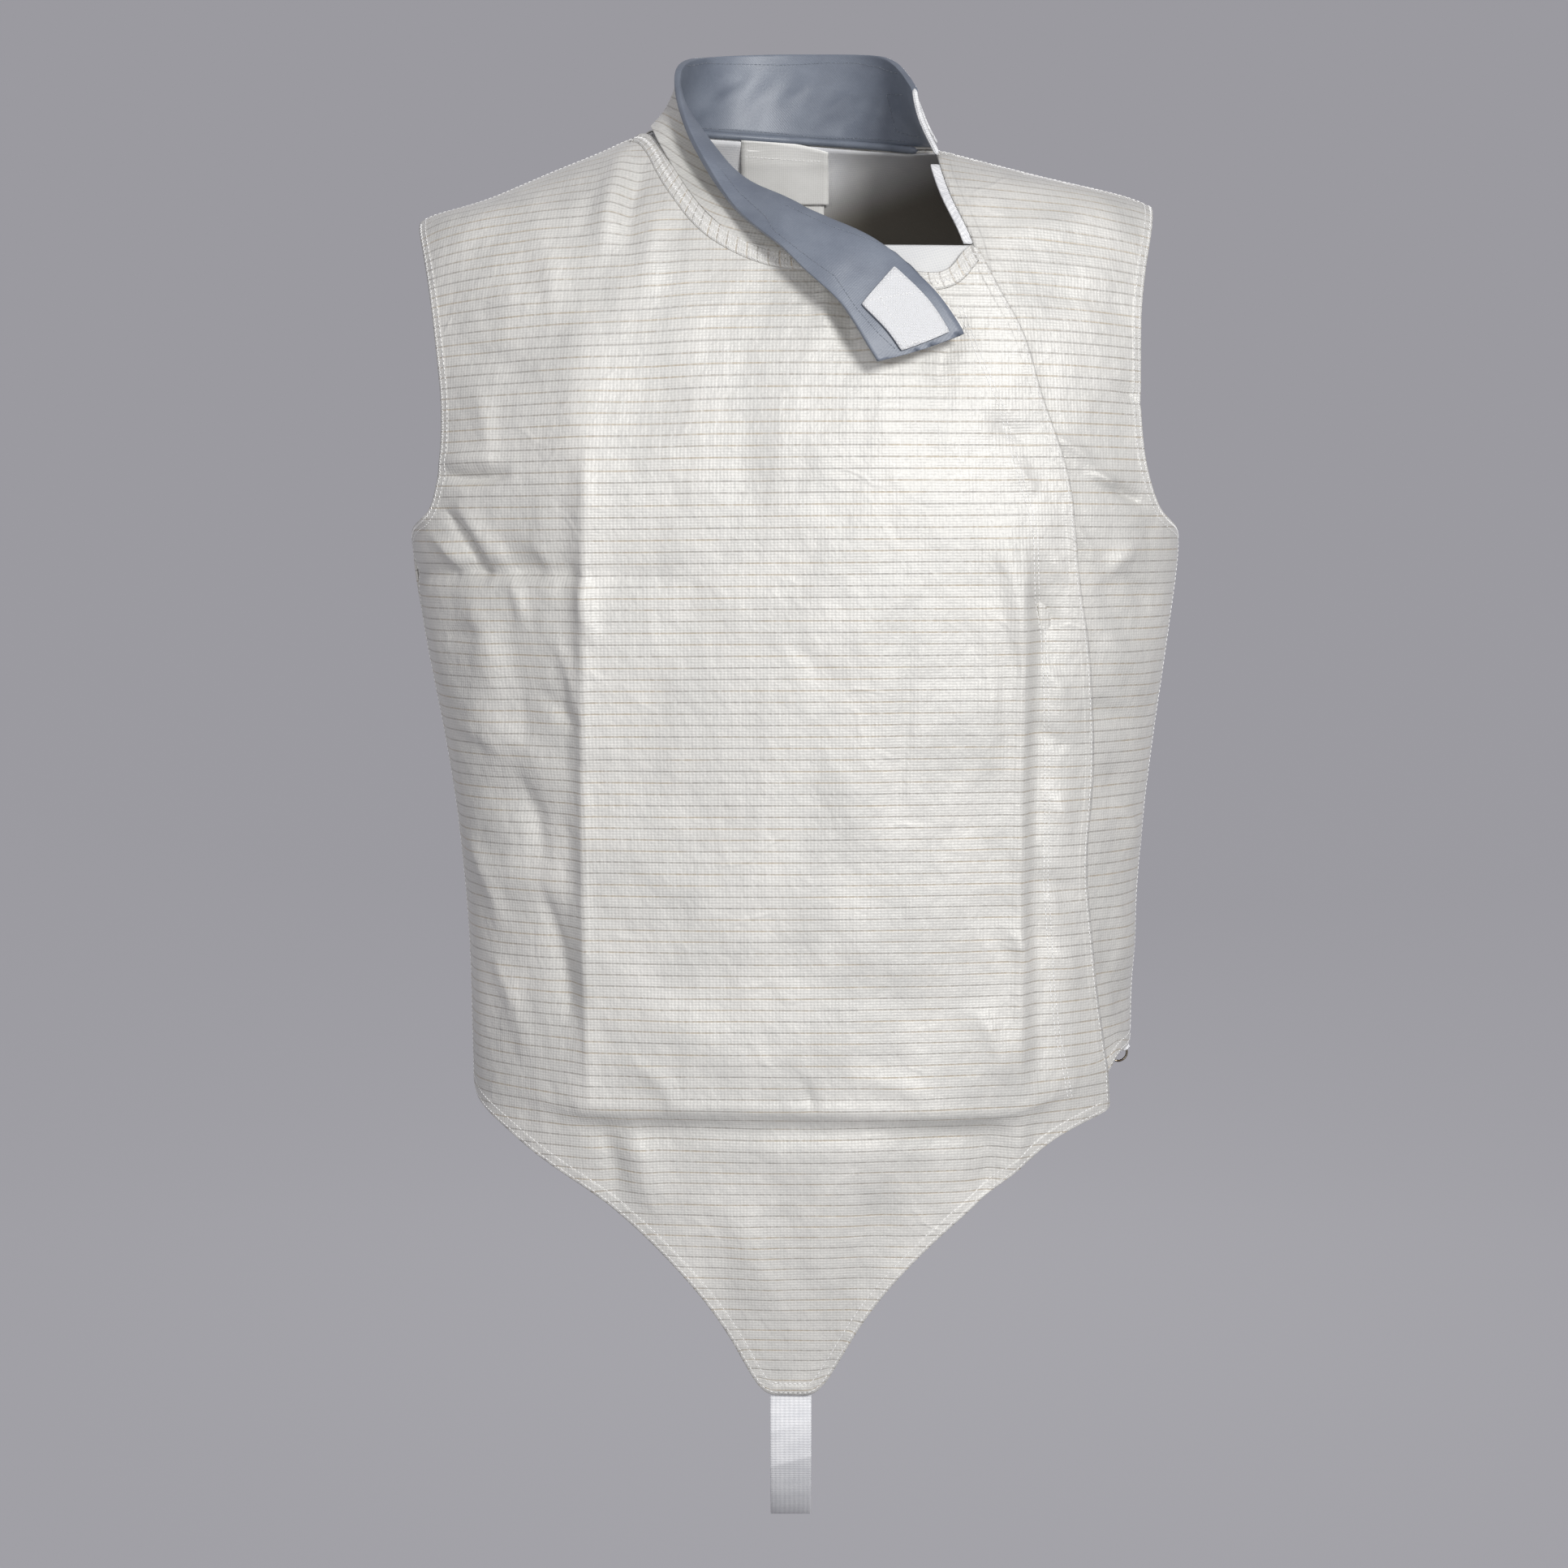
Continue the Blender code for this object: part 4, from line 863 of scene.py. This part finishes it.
# Cut edges that seams, hems and tapes follow: start, end and a point between, in mm
edges = {
    "rightArmhole": (frontPanel, (-226, -10, -51), (-233, -5, -237), (-208, -50, -180)),
    "frontHem": (frontPanel, (-196, -10, -577), (190, -40, -587), (0, -70, -760)),
    "tongueEnd": (frontPanel, (-19.5, -70, -760), (17.4, -70, -760), (0, -70, -760)),
    "closure": (frontPanel, (107, -80, -69), (190, -40, -587), (176, -80, -380)),
    "neckline": (frontPanel, (-86, 0, 5), (107, -80, -69), (0, -90, -77)),
    "rightSide": (frontPanel, (-233, -5, -237), (-196, -10, -577), (-202, -5, -430)),
    "rightShoulder": (frontPanel, (-86, 0, 5), (-226, -5, -51), (-150, 0, -23)),
    "leftArmhole": (leftFront, (218, -5, -38), (236, -5, -237), (206, -50, -150)),
    "leftSide": (leftFront, (236, -5, -237), (208, -5, -550), (214, -5, -430)),
    "leftHem": (leftFront, (208, -5, -550), (160, -60, -580), (190, -40, -567)),
    "leftShoulder": (leftFront, (86, -3, -7), (218, -3, -38), (150, 0, -22)),
    "leftNeck": (leftFront, (86, -3, -7), (108, -75, -70), (92, -50, -35)),
    "backRightArmhole": (backPanel, (-226, 5, -51), (-233, 5, -237), (-214, 50, -180)),
    "backLeftArmhole": (backPanel, (218, 5, -38), (236, 5, -237), (214, 50, -160)),
    "backHem": (backPanel, (-196, 5, -577), (208, 5, -550), (0, 100, -580)),
    "backRightSide": (backPanel, (-233, 5, -237), (-196, 5, -577), (-202, 5, -430)),
    "backLeftSide": (backPanel, (236, 5, -237), (208, 5, -550), (214, 5, -430)),
    "backRightShoulder": (backPanel, (-86, 3, 5), (-226, 5, -51), (-150, 3, -23)),
    "backLeftShoulder": (backPanel, (86, 3, -7), (218, 5, -38), (150, 3, -22)),
    "backNeck": (backPanel, (-86, 3, 5), (86, 3, -7), (0, 60, 3)),
}
seams = {name: Seam(*facts) for name, facts in edges.items()}

# Stitch rows: the edge, how far inside it, and whether it is a zigzag that wide
frontRows = [
    ("rightArmhole", 1.6, 1.8), ("rightArmhole", 5.5, 0), ("frontHem", 1.8, 0), ("frontHem", 7.0, 0),
    ("closure", 2.2, 0), ("rightSide", 4.6, 0), ("rightShoulder", 2.4, 0), ("tongueEnd", 8.2, 0),
]
leftRows = [
    ("leftArmhole", 1.6, 1.8), ("leftArmhole", 5.5, 0), ("leftSide", 2.6, 0), ("leftHem", 1.8, 0),
    ("leftHem", 7.0, 0), ("leftShoulder", 2.4, 0),
]
backRows = [
    ("backRightArmhole", 1.6, 1.8), ("backRightArmhole", 5.5, 0), ("backLeftArmhole", 1.6, 1.8),
    ("backLeftArmhole", 5.5, 0), ("backHem", 1.8, 0), ("backHem", 7.0, 0), ("backRightSide", 2.4, 0),
    ("backLeftSide", 2.4, 0), ("backRightShoulder", 2.4, 0), ("backLeftShoulder", 2.4, 0),
    ("backNeck", 4.5, 0),
]

# Two close rows beside the closure, as across and height on the front
closureRows = {"apart": 2.6, "route": [
    (97, -104), (108, -133), (121, -162), (131, -198), (138, -223), (141.5, -238), (143, -275), (147, -296),
    (149, -332), (150, -368), (150.5, -420), (150, -443), (152, -468), (154.5, -505), (158.5, -537),
    (162, -552), (167, -577),
]}


def sewRows(rows):
    sewing = Sewing()
    for edge, inside, wide in rows:
        spacing = 1.5 if wide else stitch["spacing"]
        line, normals = seams[edge].inset(inside, spacing, 1.0)
        if wide:
            sewing.zigzag(line, normals, wide)
        else:
            sewing.through(line, normals)
    return sewing


frontSewing = sewRows(frontRows)
for side in (-0.5, 0.5):
    moved = [(x + side * closureRows["apart"], z) for x, z in closureRows["route"]]
    frontSewing.through(*onCloth(frontPanel, moved, stitch["spacing"]))
frontStitching = frontSewing.piece("frontStitching")
leftStitching = sewRows(leftRows).piece("leftStitching")
backStitching = sewRows(backRows).piece("backStitching")


def thicken(piece, cloth, *finishes):
    # the wall goes inwards from the outer face, with the lining as its inner face
    piece.vertex_groups.new(name="inner")
    addModifier(
        piece, "SOLIDIFY", thickness=cloth * mm, offset=-1, use_even_offset=False,
        material_offset=len(finishes) - 1, shell_vertex_group="inner",
    )
    addModifier(piece, "DECIMATE", ratio=panel["keptFaces"], vertex_group="inner")
    print(piece.name, sum(len(face.vertices) - 2 for face in piece.data.polygons), "triangles")
    dress(piece, *finishes)


for piece, node in ((frontPanel, "front_panel"), (leftFront, "left_front_panel"), (backPanel, "back_panel")):
    thicken(piece, panel["cloth"], "lame", "lining")
    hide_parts(node)
    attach(piece, "garment")
print("panels are sewn")

# Raised tape over the neck seam: distance in from the edge and height off the cloth, in mm
neckTape = {
    "profile": [(-1.1, 1.2), (-0.2, 1.35), (2.5, 1.1), (4.7, 1.15), (7.0, 1.0), (8.8, 0.85), (9.5, 0.05)],
    "spacing": 2.5, "zigzag": 3.2,
}


def ribbon(name, rows, finish):
    # a grid whose long rows are laid along the given lines
    rows = np.array(rows)
    bpy.ops.object.select_all(action="DESELECT")
    high, long = rows.shape[:2]
    bpy.ops.mesh.primitive_grid_add(x_subdivisions=long - 1, y_subdivisions=high - 1, size=0.1)
    strip = bpy.context.object
    strip.name = strip.data.name = name
    setPoints(strip, rows.reshape(-1, 3))
    along = np.concatenate([[0], np.cumsum(np.linalg.norm(np.diff(rows[1], axis=0), axis=1))])
    wide = np.concatenate([[0], np.cumsum(np.linalg.norm(np.diff(rows[:, 1], axis=0), axis=1))])
    layer = strip.data.uv_layers[0]
    layer.name = "grain"
    for loop in strip.data.loops:
        row, place = divmod(loop.vertex_index, rows.shape[1])
        layer.data[loop.index].uv = (wide[row], along[place])
    pickOnly(strip)
    bpy.ops.object.mode_set(mode="EDIT")
    bpy.ops.mesh.select_all(action="SELECT")
    bpy.ops.mesh.remove_doubles(threshold=0.005 * mm)
    bpy.ops.mesh.normals_make_consistent(inside=False)
    bpy.ops.object.mode_set(mode="OBJECT")
    dress(strip, finish)
    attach(strip, "garment")
    return strip


def piping(name, line, normals, radius, finish):
    # a round cord of cloth along a line, closed at both ends
    along = np.gradient(line, axis=0)
    side = np.cross(normals, along)
    side /= np.linalg.norm(side, axis=1, keepdims=True) + 1e-12
    normals = np.cross(along, side)
    normals /= np.linalg.norm(normals, axis=1, keepdims=True) + 1e-12
    full = np.ones(len(line))
    full[[0, -1]] = 0
    full[[1, -2]] = 0.75
    rows = []
    for turn in np.linspace(0, 2 * math.pi, 11):
        rows.append(line + (side * math.cos(turn) + normals * math.sin(turn)) * (full * radius * mm)[:, None])
    return ribbon(name, rows, finish)


def makeNeckTape(edge, name):
    seam = seams[edge]
    rows = []
    for inside, lift in neckTape["profile"]:
        line, normals = seam.inset(inside, neckTape["spacing"])
        steps = np.linspace(0, len(line) - 1, 130)
        raised = line + normals * lift * mm
        rows.append(np.stack([np.interp(steps, np.arange(len(line)), raised[:, k]) for k in range(3)], -1))
    tape = ribbon(name, rows, "lameTape")
    if sum(Vector(n).dot(face.normal) for n, face in zip(normals, tape.data.polygons)) < 0:
        tape.data.flip_normals()
    addModifier(tape, "SOLIDIFY", thickness=0.5 * mm, offset=-1)
    sewing = Sewing()
    for inside in (1.2, 8.4):
        line, normals = seam.inset(inside, 2.6)
        sewing.through(line + normals * 1.0 * mm, normals)
    line, normals = seam.inset(4.8, 1.7)
    sewing.zigzag(line + normals * 1.15 * mm, normals, neckTape["zigzag"])
    return tape, sewing.piece(name + "Stitching")


neckSeamTape, neckTapeStitching = makeNeckTape("neckline", "neckSeamTape")
backNeckTape, backTapeStitching = makeNeckTape("backNeck", "backNeckTape")
print("neck seam is taped")


def acrossNeck(piece):
    # the direction round the neck, for the collar's grain
    points = readPoints(piece)
    return np.stack([points[:, 1], -points[:, 0], 0 * points[:, 0]], -1)


def creaseSharp(piece, angle, amount=1.0):
    # keeps a slab's corners under the subdivision
    pickOnly(piece)
    bpy.ops.object.mode_set(mode="EDIT")
    bpy.ops.mesh.select_mode(type="EDGE")
    bpy.ops.mesh.select_all(action="DESELECT")
    bpy.ops.mesh.edges_select_sharp(sharpness=math.radians(angle))
    bpy.ops.object.mode_set(mode="OBJECT")
    crease = creaseLayer(piece)
    for edge in piece.data.edges:
        if edge.select:
            crease.data[edge.index].value = amount


def upright(piece):
    return np.array((0, 0, 1))


def makeSlab(nodeName, pieceName, across, anchor, finish, amount=1.0, towards=upright):
    piece = copyOf(nodeName, pieceName)
    layGrain(piece, across(piece), anchor, towards(piece))
    creaseSharp(piece, slab["sharp"], amount)
    addModifier(piece, "SUBSURF", levels=slab["levels"], render_levels=slab["levels"])
    dress(piece, finish)
    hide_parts(nodeName)
    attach(piece, "garment")
    return piece


def levelAcross(piece):
    return np.tile((1.0, 0.0, 0.0), (len(piece.data.vertices), 1))


def alongStrap(piece):
    # the strap runs down from the tongue, back under the body and up to the back hem
    points = readPoints(piece) - np.array((0, 0, -0.68))
    return np.stack([0 * points[:, 0], -points[:, 2], points[:, 1]], -1)


slab = {"levels": 2, "sharp": 45}      # edges sharper than so many degrees stay crisp
collarOuter = makeSlab(
    "collar_outer", "collarOuter", acrossNeck, (-60, -60, 0), "lameTape", amount=0.9,
)
collarLining = makeSlab(
    "collar_lining", "collarLining", acrossNeck, (0, 60, 30), "satin", amount=0.85,
)
backLining = makeSlab("back_lining", "backLining", acrossNeck, (0, 80, -60), "lining")
flyFacing = makeSlab("fly_facing", "flyFacing", acrossNeck, (80, -90, -90), "facing")
neckBinding = makeSlab(
    "neck_binding", "neckBinding", acrossNeck, (90, -60, -40), "elastic", amount=0.6,
)
neckLabel = makeSlab("neck_label", "neckLabel", levelAcross, (0, 60, -10), "label")
sizeLabel = makeSlab("size_label", "sizeLabel", levelAcross, (0, 60, -40), "label")
hookTape = makeSlab("hook_patch", "hookTape", levelAcross, (60, -110, -90), "hooks", amount=0.8)
loopTape = makeSlab("loop_patch", "loopTape", acrossNeck, (70, 0, 20), "elastic", amount=0.8)
crotchStrap = makeSlab(
    "crotch_strap", "crotchStrap", levelAcross, (0, -70, -736), "webbing", amount=0.8,
    towards=alongStrap,
)
makeSlab("ring_loop", "ringLoop", levelAcross, (204, -9, -545), "webbing", amount=0.8)

# The short label's top is caught in the neck seam, under the cord: from which height, over how much and
# how far
labelTop = {"from": -9.0, "over": 6.0, "shift": (0, -2.8, 6.5)}
points = readPoints(neckLabel)
caught = np.clip((points[:, 2] / mm - labelTop["from"]) / labelTop["over"], 0, 1)[:, None]
setPoints(neckLabel, points + caught * np.array(labelTop["shift"]) * mm)

# Creases of the collar's lining where it stands behind the neck, raised towards the neck
collarFolds = [
    (-61, 17, -29, 46, 4.5, 1.3, 0.2),
    (-53, 26, -36, 41, 4.0, -0.9, 0.2),
    (-30, 14, -8, 44, 7.0, 0.9, 0.1),
    (-5, 28, 11, 45, 4.5, 1.2, 0.2),
    (7, 14, 33, 32, 4.5, 1.3, 0.3),
    (33, 32, 56, 42, 4.0, 1.1, 0.2),
    (28, 8, 51, 26, 4.5, -1.1, 0.2),
    (44, 7, 58, 33, 4.0, 1.3, 0.3),
    (10, 8, 24, 20, 5.0, -0.8, 0.1),
]

# Creases of its loose end that lies over the front
tabFolds = [
    (-50, -11, -34, -35, 4.5, 0.9, 0.1),
    (-30, -40, 2, -60, 5.0, -0.8, 0.1),
    (-16, -42, -5, -62, 4.5, 0.8, 0.2),
    (2, -66, 22, -84, 5.0, 0.7, 0.1),
    (40, -72, 30, -92, 6.0, -0.7, 0.1),
    (72, -79, 66, -89, 4.0, 0.8, 0.2),
]
foldCloth(collarLining, collarFolds, facing=forwards, only=(20, 120))
foldCloth(collarLining, tabFolds, facing=forwards, only=(-200, -30))
foldCloth(backLining, backFolds, panel["foldScale"], facing=outwards)

# Rows of stitches on the collar's lining, as across and height: on its loose end, and where it stands
collarRows = {
    "freeEdge": [
        (-45, -20), (-32, -37), (-16, -53), (-11, -62), (10, -79), (24, -89), (36, -107), (49, -122),
        (59, -131),
    ],
    "seamEdge": [(-5, -46), (23, -60), (47, -68), (66, -75), (78, -85), (91, -104), (97, -116)],
    "looseEnd": [(61, -135), (95, -125)],
}
standRows = {
    "top": [(-67, 46), (-54, 52), (-32, 53), (-5, 53), (21, 54), (39, 53), (53, 49), (65, 42), (74, 31)],
    "box": [(58, 32), (66, 30), (76, 24), (79, 3), (64, 9), (58, 32)],
    "neckSeam": [(-57, 12), (-36, 12), (-5, 10), (21, 7), (45, 6), (72, 2)],
}
collarSewing = Sewing()
for route in collarRows.values():
    collarSewing.through(*onCloth(collarLining, route, 2.6), thick=0.42)
for route in standRows.values():
    collarSewing.through(*onCloth(collarLining, route, 2.6, fromDepth=10), thick=0.42)
collarStitching = collarSewing.piece("collarStitching", "greyThread")

trimSewing = Sewing()
trimSewing.through(*onCloth(hookTape, [(43, -103), (72, -98)], 2.4))
hookCorners = [(49, -92), (74, -85), (92, -119), (66, -129), (47, -96)]
for corner, following in zip(hookCorners, hookCorners[1:]):
    trimSewing.through(*onCloth(hookTape, [corner, following], 2.4))
trimSewing.through(*onCloth(neckLabel, [(-30, -4), (20, -7)], 2.4, fromDepth=10), thick=0.4)
trimSewing.piece("trimStitching")

# Bound edges: the collar's end on the left shoulder, and the cord over the back neck seam
collarEnd = {"radius": 1.7, "facing": (0.45, -0.9, 0.0), "route": [
    (73.5, -14.4, 29.8), (74.0, -16.0, 24.4), (75.5, -19.1, 16.6), (77.6, -22.7, 9.3), (79.1, -24.9, 5.4),
    (82.0, -29.0, -1.3), (85.2, -33.8, -8.2), (87.0, -36.6, -12.8),
]}
neckCord = {"radius": 2.3, "facing": (0.0, -1.0, 0.0), "route": [
    (-64.5, 37.8, 8.3), (-51.2, 48.4, 8.1), (-35.6, 54.8, 7.7), (-18.9, 58.8, 6.9), (-1.9, 60.8, 5.9),
    (14.8, 58.8, 4.6), (31.3, 53.2, 3.0), (46.8, 45.4, 1.0), (61.0, 37.0, -0.9), (70.4, 28.8, -2.8),
    (77.6, 20.6, -4.4),
]}


def byHand(route, spacing):
    # evenly spaced points on a smooth line through the given places, in mm
    route = np.array(route) * mm
    run = np.concatenate([[0], np.cumsum(np.linalg.norm(np.diff(route, axis=0), axis=1))])
    steps = np.arange(0, run[-1], spacing * mm)
    line = np.stack([np.interp(steps, run, route[:, k]) for k in range(3)], -1)
    for turn in range(6):
        line[1:-1] = (line[:-2] + line[1:-1] * 2 + line[2:]) / 4
    return line


def bindEdge(name, edge, spacing, finish):
    line = byHand(edge["route"], spacing)
    cord = piping(name, line, np.tile(edge["facing"], (len(line), 1)), edge["radius"], finish)
    return cord


collarEndCord = bindEdge("collarEndCord", collarEnd, 1.5, "elastic")
neckSeamCord = bindEdge("neckSeamCord", neckCord, 2.5, "satin")
print("collar and tapes are dressed")

# Ring: round spring-steel wire, where the CAD ring is
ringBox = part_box("ring")
ringMiddle = (ringBox[0] + ringBox[1]) / 2
# its two ends are butted under the tape loop: two narrow necks beside a small bead, by turn and swell
ringSize = {
    "radius": 7.6, "wire": 1.0, "loopAt": (205.9, -9.0, -555.3),
    "ends": [(-0.16, 0.8), (0.0, 1.12), (0.16, 0.8)],
}
bpy.ops.object.select_all(action="DESELECT")
bpy.ops.mesh.primitive_torus_add(
    major_radius=ringSize["radius"] * mm, minor_radius=ringSize["wire"] * mm,
    major_segments=64, minor_segments=16, location=ringMiddle, rotation=(math.pi / 2, 0, 0),
)
wireRing = bpy.context.object
wireRing.name = wireRing.data.name = "wireRing"
bpy.ops.object.transform_apply(location=True, rotation=True, scale=True)

loopSide = (Vector(ringSize["loopAt"]) * mm - ringMiddle).normalized()
for turn, swell in ringSize["ends"]:
    right = math.cos(turn) * loopSide.x - math.sin(turn) * loopSide.z
    spoke = Vector((right, 0, math.sin(turn) * loopSide.x + math.cos(turn) * loopSide.z))
    middle = ringMiddle + spoke * ringSize["radius"] * mm
    pickOnly(wireRing)
    for vertex in wireRing.data.vertices:
        offset = vertex.co - middle
        inSlice = offset.dot(Vector((spoke.z, 0, -spoke.x))) ** 2 < (0.4 * mm) ** 2
        vertex.select = inSlice and offset.length < 1.5 * mm
    bpy.ops.object.mode_set(mode="EDIT")
    bpy.ops.mesh.select_mode(type="VERT")
    bpy.ops.transform.resize(value=(swell, swell, swell), center_override=middle)
    bpy.ops.object.mode_set(mode="OBJECT")
dress(wireRing, "steel")
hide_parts("ring")
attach(wireRing, "ring")

# Backdrop: a grey paper bowl all round, and soft light from the front
studio = {"grey": "9B9AA0", "floor": -1.35, "radius": 5.5, "rise": 4.5}


def paperGrey():
    # Seamless background paper: matt and even
    material, tree = startMaterial("background paper")
    where = addNode(tree, "TexCoord", give="Object")
    fibre = addNode(tree, "TexNoise", {"Vector": where, "Scale": 60.0, "Detail": 2.0})
    bump = addNode(tree, "Bump", {"Height": fibre, "Distance": 0.4 * mm, "Strength": 0.2})
    shader = addNode(tree, "BsdfPrincipled", {
        "Base Color": hexColour("0D0D0E"), "Roughness": 0.95, "Normal": bump,
        "Emission Color": hexColour(studio["grey"]), "Emission Strength": 0.97,
    })
    addNode(tree, "OutputMaterial", {0: shader})
    return material


bpy.ops.object.select_all(action="DESELECT")
bpy.ops.mesh.primitive_circle_add(
    vertices=96, radius=studio["radius"] * 0.6, fill_type="NGON", location=(0, 0, studio["floor"]),
)
paper = bpy.context.object
paper.name = "backgroundPaper"
bpy.ops.object.mode_set(mode="EDIT")
for turn in range(1, 13):
    share = turn / 12
    reach = studio["radius"] * (0.6 + 0.4 * math.sin(share * math.pi / 2))
    before = studio["radius"] * (0.6 + 0.4 * math.sin((turn - 1) / 12 * math.pi / 2))
    lift = studio["rise"] * 0.4 * (1 - math.cos(share * math.pi / 2))
    under = studio["rise"] * 0.4 * (1 - math.cos((turn - 1) / 12 * math.pi / 2))
    bpy.ops.mesh.extrude_region_move(TRANSFORM_OT_translate={"value": (0, 0, lift - under)})
    bpy.ops.transform.resize(value=(reach / before, reach / before, 1))
bpy.ops.mesh.extrude_region_move(TRANSFORM_OT_translate={"value": (0, 0, studio["rise"])})
bpy.ops.mesh.select_all(action="SELECT")
bpy.ops.mesh.normals_make_consistent(inside=True)
bpy.ops.object.mode_set(mode="OBJECT")
bpy.ops.object.shade_smooth()
paper.data.materials.append(paperGrey())

lamps = [
    {"name": "keySoftbox", "place": (1.5, -3.7, 1.1), "size": 0.9, "power": 124},
    {"name": "secondSoftbox", "place": (-2.0, -3.4, 1.2), "size": 0.9, "power": 20},
    {"name": "fillSoftbox", "place": (0.2, -4.4, -0.6), "size": 1.6, "power": 24},
    {"name": "topSoftbox", "place": (0.2, -0.6, 2.6), "size": 1.0, "power": 3},
    {"name": "rearSoftbox", "place": (0.3, 4.2, 0.5), "size": 1.2, "power": 75},
]
for lamp in lamps:
    bpy.ops.object.light_add(type="AREA", location=lamp["place"])
    light = bpy.context.object
    light.name = lamp["name"]
    light.data.size = lamp["size"]
    light.data.energy = lamp["power"]
    light.rotation_euler = (Vector((0, 0, -0.38)) - Vector(lamp["place"])).to_track_quat("-Z", "Y").to_euler()
    light.visible_camera = False

world = bpy.data.worlds.new("studioAir")
bpy.context.scene.world = world
world.use_nodes = True
world.node_tree.nodes["Background"].inputs[0].default_value = hexColour("C8C8CC")
world.node_tree.nodes["Background"].inputs[1].default_value = 0.28
bpy.context.scene.view_settings.view_transform = "Standard"
print("studio is lit")
